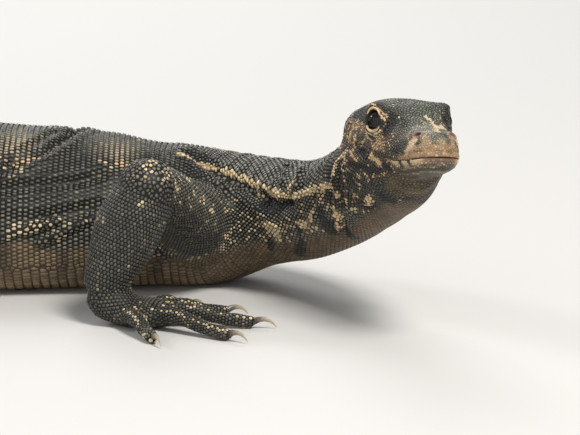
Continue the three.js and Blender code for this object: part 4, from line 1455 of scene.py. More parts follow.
class Coat:
    """All scales: their roots on the hide and the plates that stand there."""

    # Least distances between roots as shares of their spacing: in rows, on the head, in gaps.
    closest, head_closest, gap_closest = 0.66, 0.86, 0.76
    # Random places tried on the head and in gaps, and rounds that even out the head's.
    head_darts, gap_darts, evening_rounds = 60000, 200000, 3
    lip_size = 1.5
    # Scales stand on faces less bare than this, and no further than this from their tube.
    most_bare, off_tube = 0.5, 3.6
    # Depth of a plate's rim in the hide by its spacing, height of its shoulder by its own height.
    rooted, shoulder_height = 0.12, 0.62
    corners = 6
    # Corners of a plate's faces: rim 0 to 5, shoulder 6 to 11, ridge 12 and 13.
    faces = [[j, (j + 1) % 6, 6 + (j + 1) % 6, 6 + j] for j in range(6)]
    faces += [[6, 7, 13], [7, 8, 12, 13], [8, 9, 12], [9, 10, 12], [10, 11, 13, 12], [11, 6, 13]]
    faces += [[5, 4, 3, 2, 1, 0]]
    even_aspect = 0.866
    belly_rows = (8.2, 15.0)
    belly_edge = -0.42
    belly_plate = (4.0, 2.5)
    # Middle of the small scales round a nostril, in the head's axes.
    nose = (84.3, 6.6, 6.0)
    patch_size = 0.003
    neighbours = 12
    # Side of the boxes, in millimetres, in which near places are looked up.
    cell = 1.2

    def __init__(self, body: Body, hide: Hide, markings: Markings) -> None:
        """Finds every root."""
        self.body, self.hide, self.markings = body, hide, markings
        self.random = np.random.default_rng(7)
        self.parts: list[Roots] = []
        self._place_lips()
        for index, leg in enumerate(LEGS):
            self._place_leg(leg, FIRST_LEG_PIECE + index)
        self._place_spine()
        self._place_head()
        self._fill_gaps()
        self.roots = Roots.joined(self.parts)

    def _rows(self, tube: Loft, start: float, end: float, pitch: Callable, width: Callable,
              lie: Lie, keep: Callable | None = None) -> tuple[Array, ...]:
        """Staggered rings of places on a tube.

        Args:
            tube: the tube.
            start: station number where the rows start.
            end: station number where they end.
            pitch: distance between rings for station numbers.
            width: distance between scales for station numbers and angles.
            lie: which way the scales point.
            keep: says for station numbers and angles whether a place stays.

        Returns:
            Places, directions, sizes, lengths to widths, station numbers and angles.
        """
        fine = np.linspace(start, end, 1500)
        middle = tube.frame(fine)[0][:, :3]
        step = np.linalg.norm(np.diff(middle, axis=0), axis=1)
        spacing = pitch(fine)
        ring = np.concatenate([[0], np.cumsum(step * 2 / (spacing[1:] + spacing[:-1]))])
        numbers = np.interp(np.arange(int(ring[-1])) + 0.5, ring, fine)
        turns = np.linspace(-math.pi / 2, 1.5 * math.pi, 241)
        n, a = (v.ravel() for v in np.meshgrid(numbers, turns, indexing="ij"))
        loop = tube.surface(n, a, -COAT_DEPTH).reshape(len(numbers), len(turns), 3)
        arc = np.linalg.norm(np.diff(loop, axis=1), axis=2)
        wide = width(n, a).reshape(len(numbers), len(turns))
        share = np.concatenate([np.zeros((len(numbers), 1)),
                                np.cumsum(arc * 2 / (wide[:, 1:] + wide[:, :-1]), axis=1)], axis=1)
        all_numbers, all_angles = [], []
        count = 0
        for index, number in enumerate(numbers):
            wanted = share[index, -1]
            if abs(wanted - count) > max(3.0, 0.05 * wanted):
                count = max(6, 2 * round(wanted / 2))
            at = (np.arange(count) + 0.5 * (index % 2)) * wanted / count
            all_angles.append(np.interp(at, share[index], turns))
            all_numbers.append(np.full(count, number))
        n, a = np.concatenate(all_numbers), np.concatenate(all_angles)
        if keep:
            stays = keep(n, a)
            n, a = n[stays], a[stays]
        direction = tube.frame(n)[3] @ tube.turn.T * lie.value
        long, wide = pitch(n), width(n, a)
        return tube.surface(n, a, -COAT_DEPTH), direction, np.sqrt(long * wide), long / wide, n, a

    def _add(self, place: Array, lie: Array, size: Array, aspect: Array,
             patch: Array, piece: Array) -> None:
        """Drops places onto the hide, and keeps those with room that are near their tube."""
        on, normal, gap, face = self.hide.surface.nearest(place)
        good = (gap < self.off_tube) & (self.hide.bare_faces[face] < self.most_bare)
        good &= self._room(on) > size * self.closest
        roots = Roots(on, normal, self._laid(lie, normal), size, aspect, patch, piece)
        self.parts.append(roots.chosen(good))

    @staticmethod
    def _laid(lie: Array, normal: Array) -> Array:
        """Directions turned into the plane of the skin."""
        return unit(lie - normal * (lie * normal).sum(axis=1, keepdims=True))

    def _backward(self, normal: Array) -> Array:
        """Directions in the plane of the skin towards the back of the head."""
        return self._laid(np.tile(-HeadAxes.turn[:, 0], (len(normal), 1)), normal)

    def _room(self, places: Array) -> Array:
        """Distance from each place to the nearest root so far."""
        if not self.parts:
            return np.full(len(places), np.inf)
        tree = search_tree(np.concatenate([part.place for part in self.parts]))
        return np.array([tree.find(place)[2] for place in places.tolist()])

    def _place_lips(self) -> None:
        """Rows of lip plates above and below the mouth."""
        path = Mouth().path[8:-8:5]
        for drop in (1.5, -1.45):
            place = HeadAxes.out(path + (0, 0, drop))
            lie = np.gradient(place, axis=0)
            local = HeadAxes.into(place)
            ones = np.ones(len(place))
            self._add(place, lie, self.lip_size * ones, ones, *self._on_head(local))

    @staticmethod
    def _on_head(local: Array) -> tuple[Array, Array]:
        """Map places of the head's scales, ahead and round the head from its top, and their pieces."""
        round_head = np.arctan2(np.abs(local[:, 1]), local[:, 2]) / math.pi
        patch = np.clip(columns((local[:, 0] + 10) / 110, round_head), 0.01, 0.99)
        return patch, np.where(local[:, 1] > 0, *HEAD_PIECES)

    def _place_leg(self, leg: Leg, piece: int) -> None:
        """Rows of scales of one leg."""
        def add(tube: Loft, start: float, end: float, pitch: float, width: float,
                low: float, high: float, band: float = 0.0, bands: float = 1.0) -> None:
            """Rows of one tube, on their own field of the map."""
            place, lie, size, aspect, n, a = self._rows(
                tube, start, end, lambda v: np.full(len(v), pitch),
                lambda v, w: np.full(len(v), width), Lie.TO_END)
            u = low + (high - low) * n / tube.last
            v = (band + ((a / (2 * math.pi)) % 1) * 0.94 + 0.03) / bands
            self._add(place, lie, size, aspect, columns(u, v), np.full(len(n), piece))

        for index in range(TOES):
            toe = leg.toe(index)
            add(toe, 0.5, toe.last - 0.1, 1.45, 1.55, 0.76, 0.98, index, TOES)
        add(leg.palm_loft(), 1, 3.9, 1.55, 1.65, 0.62, 0.76)
        coarse = 1.62 if leg.name.startswith("fore") else 1.95
        add(leg.lower(), 0.2, 3, coarse, coarse * 1.02, 0.36, 0.62)
        add(leg.upper(), 0.6, 4, coarse, coarse * 1.04, 0.02, 0.36)

    def _place_spine(self) -> None:
        """Rows of scales of the tail, trunk and neck."""
        def pitch(number: Array) -> Array:
            """Distance between rings on the back."""
            return np.interp(number, [0, 3, 6, 8, 11, 14, 15.5, 17, 19, 22],
                             [2.6, 2.9, 2.8, 2.7, 2.6, 2.35, 1.9, 1.75, 1.6, 1.5])

        def width(number: Array, angle: Array) -> Array:
            """Distance between scales of a ring."""
            across = np.interp(number, [0, 3, 6, 8, 11, 14, 15.5, 17, 19, 22],
                               [1.9, 2.3, 2.3, 2.1, 2.0, 2.0, 1.95, 1.85, 1.7, 1.6])
            up = np.sin(angle)
            low = smooth(-0.3, -0.75, up) * np.interp(number, [4, 8, 14, 16, 19], [0.3, 0.8, 0.6, 0.3, 0])
            nape = smooth(0.3, 0.7, up) * np.interp(number, [14.6, 15.6, 18.8, 19.5], [0, 0.55, 0.55, 0])
            return across * (1 + low + nape)

        def belly(number: Array, angle: Array) -> Array:
            """True on the belly, whose plates are long."""
            low, high = self.belly_rows
            return (np.sin(angle) < self.belly_edge) & (number > low) & (number < high)

        spine = self.body.spine
        long, wide = self.belly_plate
        lots = [self._rows(spine, *self.belly_rows, lambda v: np.full(len(v), long),
                           lambda v, w: np.full(len(v), wide), Lie.TO_START, belly),
                self._rows(spine, 0.06, 21.5, pitch, width, Lie.TO_START, lambda v, w: ~belly(v, w))]
        starts = np.array([0, *SPINE_PIECE_ENDS])
        for place, lie, size, aspect, n, a in lots:
            piece = np.searchsorted(SPINE_PIECE_ENDS, n)
            u = 0.01 + 0.98 * (n - starts[piece]) / (starts[piece + 1] - starts[piece])
            v = 0.01 + 0.98 * ((a / (2 * math.pi) + 0.25) % 1)
            self._add(place, lie, size, aspect, columns(u, v), piece)

    def _head_spacing(self, local: Array) -> Array:
        """Distance between scales of the head."""
        x, _, z = local.T
        spacing = 1.17 - 0.14 * smooth(66, 78, x) + 0.12 * smooth(-7, -14, z)
        for side in SIDES.values():
            eye = EyePlace(side)
            for spot, less, reach in (((eye.ahead, eye.aside + 4, eye.up), 0.42, (12, 7)),
                                      (self.nose, 0.3, (7, 4))):
                gap = np.linalg.norm(local - np.array(spot) * (1, side, 1), axis=1)
                spacing -= less * smooth(*reach, gap)
        return np.clip(spacing, 0.75, 2)

    def _place_head(self) -> None:
        """Close-set scales of the head, spread evenly without rows."""
        surface = self.hide.surface
        middle = HeadAxes.into(surface.points[surface.triangles].mean(axis=1))
        inside = HeadAxes.around(middle, 1, 25, 31)
        faces = np.flatnonzero(inside & (self.hide.bare_faces < self.most_bare))
        place, normal = surface.scattered(self.head_darts, self.random, faces)
        spacing = self._head_spacing(HeadAxes.into(place))
        place, normal, spacing = self._with_room(place, normal, spacing, self.head_closest)
        for _ in range(self.evening_rounds):
            moved = self._evened(place, normal, spacing)
            place, normal, _, _ = surface.nearest(moved)
            spacing = self._head_spacing(HeadAxes.into(place))
        aspect = np.full(len(place), self.even_aspect)
        self.parts.append(Roots(place, normal, self._backward(normal), spacing, aspect,
                                *self._on_head(HeadAxes.into(place))))

    def _with_room(self, place: Array, normal: Array, spacing: Array,
                   share: float) -> tuple[Array, ...]:
        """Those places that are not too near to a root or to each other."""
        free = self._room(place) > spacing * share
        place, normal, spacing = place[free], normal[free], spacing[free]
        grid: dict[tuple, list[int]] = {}
        kept = []
        steps = list(itertools.product((-1, 0, 1), repeat=3))
        rows, limits = place.tolist(), ((spacing * share) ** 2).tolist()
        for index, (x, y, z) in enumerate(np.floor(place / self.cell).astype(int).tolist()):
            px, py, pz = rows[index]
            near = (rows[k] for dx, dy, dz in steps for k in grid.get((x + dx, y + dy, z + dz), ()))
            gaps = ((px - qx) ** 2 + (py - qy) ** 2 + (pz - qz) ** 2 for qx, qy, qz in near)
            if all(gap >= limits[index] for gap in gaps):
                kept.append(index)
                grid.setdefault((x, y, z), []).append(index)
        return place[kept], normal[kept], spacing[kept]

    def _cells(self, place: Array, normal: Array, lie: Array, size: Array,
               others: Array, turns: Array) -> Array:
        """Reach of each scale's own ground in some directions, halfway to its neighbours.

        Args:
            place: roots.
            normal: their normals.
            lie: their directions.
            size: their spacings.
            others: all roots that share the ground.
            turns: one row of directions to measure for each root, as angles from the lie.

        Returns:
            One row of distances for each root.
        """
        tree = search_tree(others)
        hits = [tree.find_n(point, self.neighbours) for point in place.tolist()]
        away = others[np.array([[hit[1] for hit in row] for row in hits])] - place[:, None]
        across = np.cross(normal, lie)
        x = (away * lie[:, None]).sum(axis=2)
        y = (away * across[:, None]).sum(axis=2)
        square = (away ** 2).sum(axis=2) / 2
        reach = np.repeat(size[:, None] * 0.85, turns.shape[1], axis=1)
        for index, angle in enumerate(turns.T):
            toward = x * np.cos(angle)[:, None] + y * np.sin(angle)[:, None]
            limit = np.where(toward > 1e-6, square / np.maximum(toward, 1e-6), np.inf)
            limit = np.where(square < 1e-8, np.inf, limit)
            reach[:, index] = np.minimum(reach[:, index], limit.min(axis=1))
        return reach

    def _evened(self, place: Array, normal: Array, spacing: Array) -> Array:
        """Places moved towards the middle of their own ground."""
        lie = self._backward(normal)
        others = np.concatenate([place, *(part.place for part in self.parts)])
        turn = np.arange(12) * 2 * np.pi / 12
        reach = self._cells(place, normal, lie, spacing, others, np.tile(turn, (len(place), 1)))
        weight = (reach ** 2).sum(axis=1)
        x = (reach ** 3 * np.cos(turn)).sum(axis=1) * 2 / 3 / weight
        y = (reach ** 3 * np.sin(turn)).sum(axis=1) * 2 / 3 / weight
        return place + lie * x[:, None] + np.cross(normal, lie) * y[:, None]

    def _fill_gaps(self) -> None:
        """Adds scales where the rows of two tubes leave the hide open."""
        surface = self.hide.surface
        faces = np.flatnonzero(self.hide.bare_faces < self.most_bare)
        place, normal = surface.scattered(self.gap_darts, self.random, faces)
        roots = Roots.joined(self.parts)
        tree = search_tree(roots.place)
        found = [tree.find(point)[1:] for point in place.tolist()]
        nearest = np.array([hit[0] for hit in found])
        gap = np.array([hit[1] for hit in found])
        open_ground = gap > roots.size[nearest] * self.gap_closest
        place, normal, nearest = place[open_ground], normal[open_ground], nearest[open_ground]
        keep_place, keep_normal, _ = self._with_room(place, normal, roots.size[nearest], self.gap_closest)
        found = np.array([tree.find(point)[1] for point in keep_place.tolist()])
        away = keep_place - roots.place[found]
        lie = roots.lie[found]
        across = np.cross(roots.normal[found], lie)
        shift = columns((away * lie).sum(axis=1), (away * across).sum(axis=1))
        patch = np.clip(roots.patch[found] + shift * 0.0035, 0.005, 0.995)
        aspect = np.full(len(found), self.even_aspect)
        self.parts.append(Roots(keep_place, keep_normal, self._laid(lie, keep_normal), roots.size[found],
                                aspect, patch, roots.piece[found]))

    def plates(self) -> list[Object]:
        """Builds the scales of each piece."""
        roots = self.roots
        turns = self._turns(roots.aspect)
        reach = self._cells(roots.place, roots.normal, roots.lie, roots.size, roots.place, turns)
        number, down, _ = self.body.along(roots.place)
        local = HeadAxes.into(roots.place)
        head = np.isin(roots.piece, HEAD_PIECES)
        leg = roots.piece >= FIRST_LEG_PIECE
        spine = ~head & ~leg
        belly = smooth(105, 125, down) * spine
        neck = smooth(14.6, 15.6, number) * spine
        nape = neck * smooth(80, 60, down)
        back = smooth(95, 60, down) * spine
        height = roots.size * (0.21 + 0.05 * back - 0.1 * belly - 0.03 * head + 0.03 * leg)
        lips = head * (np.abs(local[:, 2] + 1.5) < 3) * (local[:, 0] > 50)
        flat = head * smooth(68, 80, local[:, 0])
        height *= (1 - 0.4 * lips) * (1 - 0.5 * flat)
        even = 0.1 - 0.04 * flat - 0.03 * head - 0.02 * neck - 0.04 * leg - 0.04 * belly
        along, beside = even + 0.03 * back, even - 0.03 * back - 0.1 * nape
        gap = np.abs(np.cos(turns)) * along[:, None] + np.abs(np.sin(turns)) * beside[:, None]
        keel = 0.34 * back * (1 - neck) + 0.2 * leg
        mean = reach.mean(axis=1, keepdims=True)
        bead = (0.3 + 0.3 * neck * (1 - nape) + 0.2 * leg - 0.25 * belly)[:, None]
        reach = reach * (1 - bead) + np.minimum(reach, mean) * bead
        reach = np.maximum(reach - gap * roots.size[:, None], roots.size[:, None] * 0.12)
        marks = self.markings.of_scales(roots.place)
        height *= 1 + 0.8 * neck * (1 - nape) * np.clip(marks.pale, 0, 1)
        # Filled plates keep a high crown, so their rims get little painted shade.
        filled = np.maximum(0.75 * flat, 0.85 * marks.solid())
        broad = 0.78 + 0.08 * leg + 0.1 * belly - 0.06 * nape
        shades = {"pigments": marks.colours(), "blush": marks.blush, "tip": np.clip(marks.tip, 0, 1),
                  "chance": hashed(np.round(roots.place * 100), 17)}
        pieces = []
        for index, name in enumerate(PIECES):
            which = np.flatnonzero(roots.piece == index)
            chosen = {key: values[which] for key, values in shades.items()}
            pieces.append(self._built(name, roots.chosen(which), turns[which], reach[which], height[which],
                                      keel[which], broad[which], filled[which], chosen))
        return pieces

    def _turns(self, aspect: Array) -> Array:
        """Angles of a scale's corners from its lie, for scales in staggered rows."""
        corner = np.arctan2(0.5, aspect / 2 - 1 / (8 * aspect))
        zero = np.zeros(len(aspect))
        return columns(zero, corner, math.pi - corner, zero + math.pi, math.pi + corner,
                       2 * math.pi - corner)

    def _built(self, name: str, roots: Roots, turns: Array, reach: Array, height: Array,
               keel: Array, broad: Array, filled: Array,
               shades: dict[str, Array]) -> Object:
        """One joined mesh of domed plates: rim, shoulder and a short ridge each."""
        corners = self.corners
        count = len(roots.place)
        across = np.cross(roots.normal, roots.lie)
        outward = (roots.lie[:, None] * np.cos(turns)[:, :, None]
                   + across[:, None] * np.sin(turns)[:, :, None])
        place, up = roots.place[:, None], roots.normal[:, None]
        rim = place + outward * reach[:, :, None] - up * (self.rooted * roots.size[:, None, None])
        shoulder = (place + outward * (reach * broad[:, None])[:, :, None]
                    + up * (self.shoulder_height * height[:, None, None]))
        length = reach[:, [3, 0]] * (0.22 + keel[:, None])
        ways = np.array([-1.0, 1.0])
        lift = columns(height * (1 - 0.3 * keel), height * (1 + 0.7 * keel))
        ridge = place + roots.lie[:, None] * (length * ways)[:, :, None] + up * lift[:, :, None]
        points = np.concatenate([rim, shoulder, ridge], axis=1)
        points[:, :, 2] = np.maximum(points[:, :, 2], FLOOR_CLEARANCE)
        each = points.shape[1]
        sizes = np.array([len(face) for face in self.faces])
        loops = np.concatenate(self.faces)
        all_loops = (loops[None, :] + (np.arange(count) * each)[:, None]).ravel()
        all_sizes = np.tile(sizes, count)
        starts = np.concatenate([[0], np.cumsum(all_sizes)[:-1]])
        mesh = bpy.data.meshes.new(name)
        mesh.vertices.add(count * each)
        mesh.vertices.foreach_set("co", (points * MM).astype(np.float32).ravel())
        mesh.loops.add(len(all_loops))
        mesh.loops.foreach_set("vertex_index", all_loops.astype(np.int32))
        mesh.polygons.add(len(all_sizes))
        mesh.polygons.foreach_set("loop_start", starts.astype(np.int32))
        mesh.update(calc_edges=True)
        mesh.shade_smooth()
        turn = np.arange(corners) * 2 * np.pi / corners
        spread = np.concatenate([columns(np.cos(turn), np.sin(turn)),
                                 0.7 * columns(np.cos(turn), np.sin(turn)),
                                 np.array([[-0.2, 0], [0.2, 0]])]) * self.patch_size / 2
        places = (roots.patch[:, None] + spread[None]).reshape(-1, 2)
        layer = mesh.uv_layers.new(name="OFBake")
        layer.data.foreach_set("uv", places[all_loops].astype(np.float32).ravel())
        for key, values in shades.items():
            put_attribute(mesh, key, np.repeat(values, each, axis=0))
        # Crown runs from 0 at the rim to 1 on the ridge; the colouring paints shade on low crown and a
        # highlight on high crown.
        crown = np.concatenate([np.zeros(corners), np.full(corners, 0.8), np.ones(2)])
        put_attribute(mesh, "crown", (crown + (1 - crown) * filled[:, None]).ravel())
        piece = bpy.data.objects.new(name, mesh)
        bpy.context.scene.collection.objects.link(piece)
        return piece


# Shader trees


class Tree:
    """Short way to write a shader tree."""

    def __init__(self, tree: bpy.types.NodeTree) -> None:
        """Keeps the tree."""
        self.tree = tree

    def put(self, socket: Socket, value: object) -> None:
        """Links a socket into another, or sets its value."""
        if isinstance(value, Socket):
            self.tree.links.new(value, socket)
        else:
            socket.default_value = value

    def fill(self, node: bpy.types.Node, sockets: dict) -> None:
        """Links or sets a node's inputs by name or number."""
        for name, value in sockets.items():
            self.put(node.inputs[name], value)

    def node(self, kind: str, sockets: dict | None = None, **settings: object) -> bpy.types.Node:
        """Adds a node.

        Args:
            kind: the node's type without its ShaderNode prefix.
            sockets: values or output sockets for its inputs, by name or number.
            settings: the node's own properties.

        Returns:
            The new node.
        """
        node = self.tree.nodes.new("ShaderNode" + kind)
        for name, value in settings.items():
            setattr(node, name, value)
        self.fill(node, sockets or {})
        return node

    def math(self, operation: str, *values: object) -> Socket:
        """Result of a sum on numbers, kept from 0 to 1 where the operation's name ends in a star."""
        clamp = operation.endswith("*")
        node = self.node("Math", dict(enumerate(values)), operation=operation.rstrip("*"), use_clamp=clamp)
        return node.outputs[0]

    def mix(self, share: object, a: object, b: object, way: str = "MIX") -> Socket:
        """Mix of two colours."""
        return self.node("Mix", {"Factor": share, 6: a, 7: b}, data_type="RGBA", blend_type=way).outputs[2]

    def ramp(self, value: object, low: float, high: float, to_low: float = 0.0,
             to_high: float = 1.0) -> Socket:
        """Smooth change from one number to another."""
        node = self.node("MapRange", {"Value": value, "From Min": low, "From Max": high,
                                      "To Min": to_low, "To Max": to_high}, interpolation_type="SMOOTHSTEP")
        return node.outputs["Result"]

    def noise(self, size: float, detail: float = 2.0, rough: float = 0.5) -> Socket:
        """Cloudy number with blobs of a size in millimetres."""
        place = self.node("TexCoord").outputs["Object"]
        node = self.node("TexNoise", {"Vector": place, "Scale": 1 / (size * MM), "Detail": detail,
                                      "Roughness": rough})
        return node.outputs["Fac"]

    def attribute(self, name: str, what: str = "Fac") -> Socket:
        """Reads an attribute of the mesh."""
        return self.node("Attribute", attribute_name=name).outputs[what]

    def varied(self, noise: Socket, amount: object, middle: object) -> Socket:
        """A value that noise moves up and down by an amount."""
        return self.math("MULTIPLY_ADD", self.math("SUBTRACT", noise, 0.5), amount, middle)


def tinted(red: float, green: float, blue: float) -> tuple[float, float, float, float]:
    """Colour with full cover."""
    return (red, green, blue, 1.0)


class Group:
    """A shader node group with named inputs and outputs, built once."""

    name = "group"
    inputs: dict[str, tuple] = {}
    outputs: dict[str, str] = {}

    @classmethod
    def build(cls) -> bpy.types.NodeTree:
        """The group, made when it is first asked for."""
        found = bpy.data.node_groups.get(cls.name)
        if found:
            return found
        tree = bpy.data.node_groups.new(cls.name, "ShaderNodeTree")
        for name, (kind, value) in cls.inputs.items():
            socket = tree.interface.new_socket(name, in_out="INPUT", socket_type="NodeSocket" + kind)
            socket.default_value = value
        for name, kind in cls.outputs.items():
            tree.interface.new_socket(name, in_out="OUTPUT", socket_type="NodeSocket" + kind)
        start = tree.nodes.new("NodeGroupInput")
        end = tree.nodes.new("NodeGroupOutput")
        work = Tree(tree)
        work.fill(end, cls.wire(work, start.outputs))
        return tree

    @classmethod
    def wire(cls, tree: Tree, given: Outputs) -> dict[str, Socket]:
        """Builds the inside and returns what each output takes."""
        raise NotImplementedError

    @classmethod
    def place(cls, tree: Tree, values: dict[str, object]) -> Outputs:
        """Puts the group in a material with its own values, and returns its outputs."""
        return tree.node("Group", values, node_tree=cls.build()).outputs


class Colouring(Group):
    """The lizard's colours from the pigments stored in a mesh, with a painted highlight on scale tops and
    painted shade at their rims and between them.
    """

    name = "lizard_colouring"
    inputs = {
        "Slate": ("Color", tinted(0.009, 0.009, 0.009)), "Grey": ("Color", tinted(0.022, 0.021, 0.019)),
        "Moss": ("Color", tinted(0.050, 0.056, 0.040)), "Speckle": ("Color", tinted(0.26, 0.27, 0.15)),
        # The tip colour lightens scale tops: partly paler keratin, partly painted highlight.
        "Tip": ("Color", tinted(0.19, 0.18, 0.142)), "Earth": ("Color", tinted(0.165, 0.115, 0.064)),
        "Cream": ("Color", tinted(0.60, 0.50, 0.31)), "Peach": ("Color", tinted(0.60, 0.37, 0.19)),
        # The gap value darkens scale rims and the skin between scales: partly darker skin, partly painted
        # shade.
        "Blush": ("Color", tinted(0.46, 0.23, 0.20)), "Gap": ("Float", 0.2), "Mottle": ("Float", 0.35),
    }
    outputs = {"Color": "Color"}

    @classmethod
    def wire(cls, tree: Tree, given: Outputs) -> dict[str, Socket]:
        """Mixes the palette by the pigments, mottles it, lightens scale tops partly as a painted highlight,
        and darkens the gaps as painted shade.
        """
        parts = tree.node("SeparateColor", {0: tree.attribute("pigments", "Color")})
        pale, warm, earth = (parts.outputs[k] for k in range(3))
        chance, crown = tree.attribute("chance"), tree.attribute("crown")
        fine, broad = tree.noise(0.5, 3), tree.noise(5.0, 2)
        base = tree.mix(tree.math("MULTIPLY", chance, broad), given["Slate"], given["Grey"])
        moss = tree.mix(tree.ramp(chance, 0.72, 0.98, 0.0, 0.75), given["Moss"], given["Speckle"])
        base = tree.mix(tree.attribute("pigments", "Alpha"), base, moss)
        ground = tree.math("MULTIPLY*", earth, tree.ramp(broad, 0.3, 0.6, 0.65, 1.0))
        base = tree.mix(ground, base, given["Earth"])
        # Scale tops lighter towards the ridge: partly paler keratin, partly painted highlight.
        tip = tree.math("MULTIPLY", tree.attribute("tip"), tree.ramp(crown, 0.62, 1.0))
        base = tree.mix(tip, base, given["Tip"])
        light = tree.mix(warm, given["Cream"], given["Peach"])
        edge = tree.varied(fine, 0.35, pale)
        cover = tree.math("MULTIPLY", tree.ramp(edge, 0.05, 0.85), tree.ramp(crown, 0.3, 0.82))
        colour = tree.mix(cover, base, light)
        colour = tree.mix(tree.attribute("blush"), colour, given["Blush"])
        mottle = tree.varied(fine, given["Mottle"], 1.0)
        bright = tree.math("MULTIPLY", mottle, tree.ramp(chance, 0, 1, 0.82, 1.18))
        # Painted shade, partly darker skin: darker towards each scale's rim and on the skin under the
        # scales.
        shade = tree.node("MapRange", {"Value": crown, "From Min": 0.15, "From Max": 0.8,
                                       "To Min": given["Gap"], "To Max": 1.0})
        bright = tree.math("MULTIPLY", bright, shade.outputs["Result"])
        grey = tree.node("CombineColor", {0: bright, 1: bright, 2: bright}).outputs[0]
        return {"Color": tree.mix(1.0, colour, grey, "MULTIPLY")}


class Grain(Group):
    """Fine unevenness of a surface, as a height and a mask."""

    name = "lizard_grain"
    inputs = {"Fine": ("Float", 0.25), "Broad": ("Float", 1.6)}
    outputs = {"Height": "Float", "Worn": "Float"}

    @classmethod
    def wire(cls, tree: Tree, given: Outputs) -> dict[str, Socket]:
        """Two sizes of noise, given in millimetres."""
        place = tree.node("TexCoord").outputs["Object"]
        found = []
        for name in ("Fine", "Broad"):
            scale = tree.math("DIVIDE", 1 / MM, given[name])
            noise = tree.node("TexNoise", {"Vector": place, "Scale": scale, "Detail": 3.0})
            found.append(noise.outputs["Fac"])
        height = tree.math("MULTIPLY_ADD", found[0], 0.5, tree.math("MULTIPLY", found[1], 0.5))
        return {"Height": height, "Worn": tree.ramp(found[1], 0.35, 0.7)}


@dataclass(frozen=True)
class Finish:
    """A material with a Principled shader; each kind wires its own inputs."""

    name: str
    roughness: float
    bump: float = 0.03

    # Roughness of the freshest and the most worn places, as shares of the usual.
    wear = (0.85, 1.2)

    def material(self) -> Material:
        """Builds the material."""
        material = bpy.data.materials.new(self.name)
        material.use_nodes = True
        tree = Tree(material.node_tree)
        shader = material.node_tree.nodes["Principled BSDF"]
        self.wire(tree, shader)
        return material

    def wire(self, tree: Tree, shader: bpy.types.Node) -> None:
        """Links the finish into the shader."""
        raise NotImplementedError

    def _rough(self, tree: Tree, shader: bpy.types.Node, height: object, worn: object) -> None:
        """Sets roughness that varies with wear, and the bump."""
        least, most = (self.roughness * share for share in self.wear)
        rough = tree.node("MapRange", {"Value": worn, "To Min": least, "To Max": most})
        bump = tree.node("Bump", {"Height": height, "Distance": self.bump * MM, "Strength": 1.0})
        tree.fill(shader, {"Roughness": rough.outputs["Result"], "Normal": bump.outputs["Normal"]})


@dataclass(frozen=True)
class HideFinish(Finish):
    """Skin or scales: the lizard's colours with a fine grain."""

    fine: float = 0.22
    broad: float = 1.4
    # Darkness of the painted shade at scale rims and between scales, partly darker skin.
    gap: float = 0.3
    specular: float = 0.38

    def wire(self, tree: Tree, shader: bpy.types.Node) -> None:
        """Colours from the pigments, roughness and bump from the grain."""
        colours = Colouring.place(tree, {"Gap": self.gap})
        grain = Grain.place(tree, {"Fine": self.fine, "Broad": self.broad})
        tree.fill(shader, {"Base Color": colours["Color"], "Specular IOR Level": self.specular})
        self._rough(tree, shader, grain["Height"], grain["Worn"])


@dataclass(frozen=True)
class EyeFinish(Finish):
    """Wet eyeball: black pupil, dark red-brown iris with a thin warm ring."""

    pupil: float = 27.0
    iris: float = 46.0
    ior: float = 1.38
    specular: float = 0.1
    coat: float = 0.6
    coat_roughness: float = 0.02
    black: tuple = tinted(0.002, 0.002, 0.002)
    brown: tuple = tinted(0.008, 0.004, 0.003)
    ring: tuple = tinted(0.018, 0.009, 0.005)
    white: tuple = tinted(0.012, 0.009, 0.008)

    def wire(self, tree: Tree, shader: bpy.types.Node) -> None:
        """Colours by the angle from the eye's axis."""
        gaze = tree.attribute("gaze")
        fibre = tree.noise(0.35, 4)
        bright = tinted(*(2.1 * value for value in self.brown[:3]))
        iris = tree.mix(tree.ramp(fibre, 0.35, 0.7), self.brown, bright)
        ring = tree.math("MULTIPLY", tree.ramp(gaze, self.pupil, self.pupil + 1.5),
                         tree.ramp(gaze, self.pupil + 6, self.pupil + 2.5))
        iris = tree.mix(ring, iris, self.ring)
        colour = tree.mix(tree.ramp(gaze, self.pupil - 1, self.pupil + 1), self.black, iris)
        colour = tree.mix(tree.ramp(gaze, self.iris - 2, self.iris + 2), colour, self.white)
        tree.fill(shader, {"Base Color": colour, "Roughness": self.roughness, "IOR": self.ior,
                           "Specular IOR Level": self.specular, "Coat Weight": self.coat,
                           "Coat Roughness": self.coat_roughness})


@dataclass(frozen=True)
class HornFinish(Finish):
    """Claw horn: dark at the base, cream towards the point, with long streaks."""

    base: tuple = tinted(0.05, 0.042, 0.034)
    pale: tuple = tinted(0.44, 0.37, 0.26)

    def wire(self, tree: Tree, shader: bpy.types.Node) -> None:
        """Colours along the claw."""
        grain = Grain.place(tree, {"Fine": 0.3, "Broad": 1.2})
        shift = tree.varied(tree.noise(0.7, 3), 0.4, tree.attribute("along"))
        colour = tree.mix(tree.ramp(shift, 0.2, 0.72), self.base, self.pale)
        tree.put(shader.inputs["Base Color"], colour)
        self._rough(tree, shader, grain["Height"], grain["Worn"])


# Eyes and claws


class Eyeball:
    """Eyeball of one side, with a front that bulges a little."""

    rings = 48
    spokes = 64
    bulge = 0.35

    def __init__(self, name: str, side: int) -> None:
        """Takes its place from the socket."""
        self.name, self.place = name, EyePlace(side)

    def build(self, material: Material) -> Object:
        """Sphere with its pole on the eye's axis."""
        axes, radius = self.place.axes(), self.place.radius
        tilt, spin = (v.ravel() for v in np.meshgrid(
            np.linspace(0.004, math.pi - 0.004, self.rings),
            np.arange(self.spokes) * 2 * np.pi / self.spokes, indexing="ij"))
        grown = radius + self.bulge * smooth(0.62, 0.2, tilt) - self.bulge
        local = columns(np.cos(tilt), np.sin(tilt) * np.cos(spin), np.sin(tilt) * np.sin(spin))
        points = (local * grown[:, None]) @ axes.T + self.place.centre()
        piece = new_object(self.name + "_ball", points, tube_faces(self.rings, self.spokes, True))
        put_attribute(piece.data, "gaze", np.degrees(tilt))
        piece.data.materials.append(material)
        return piece


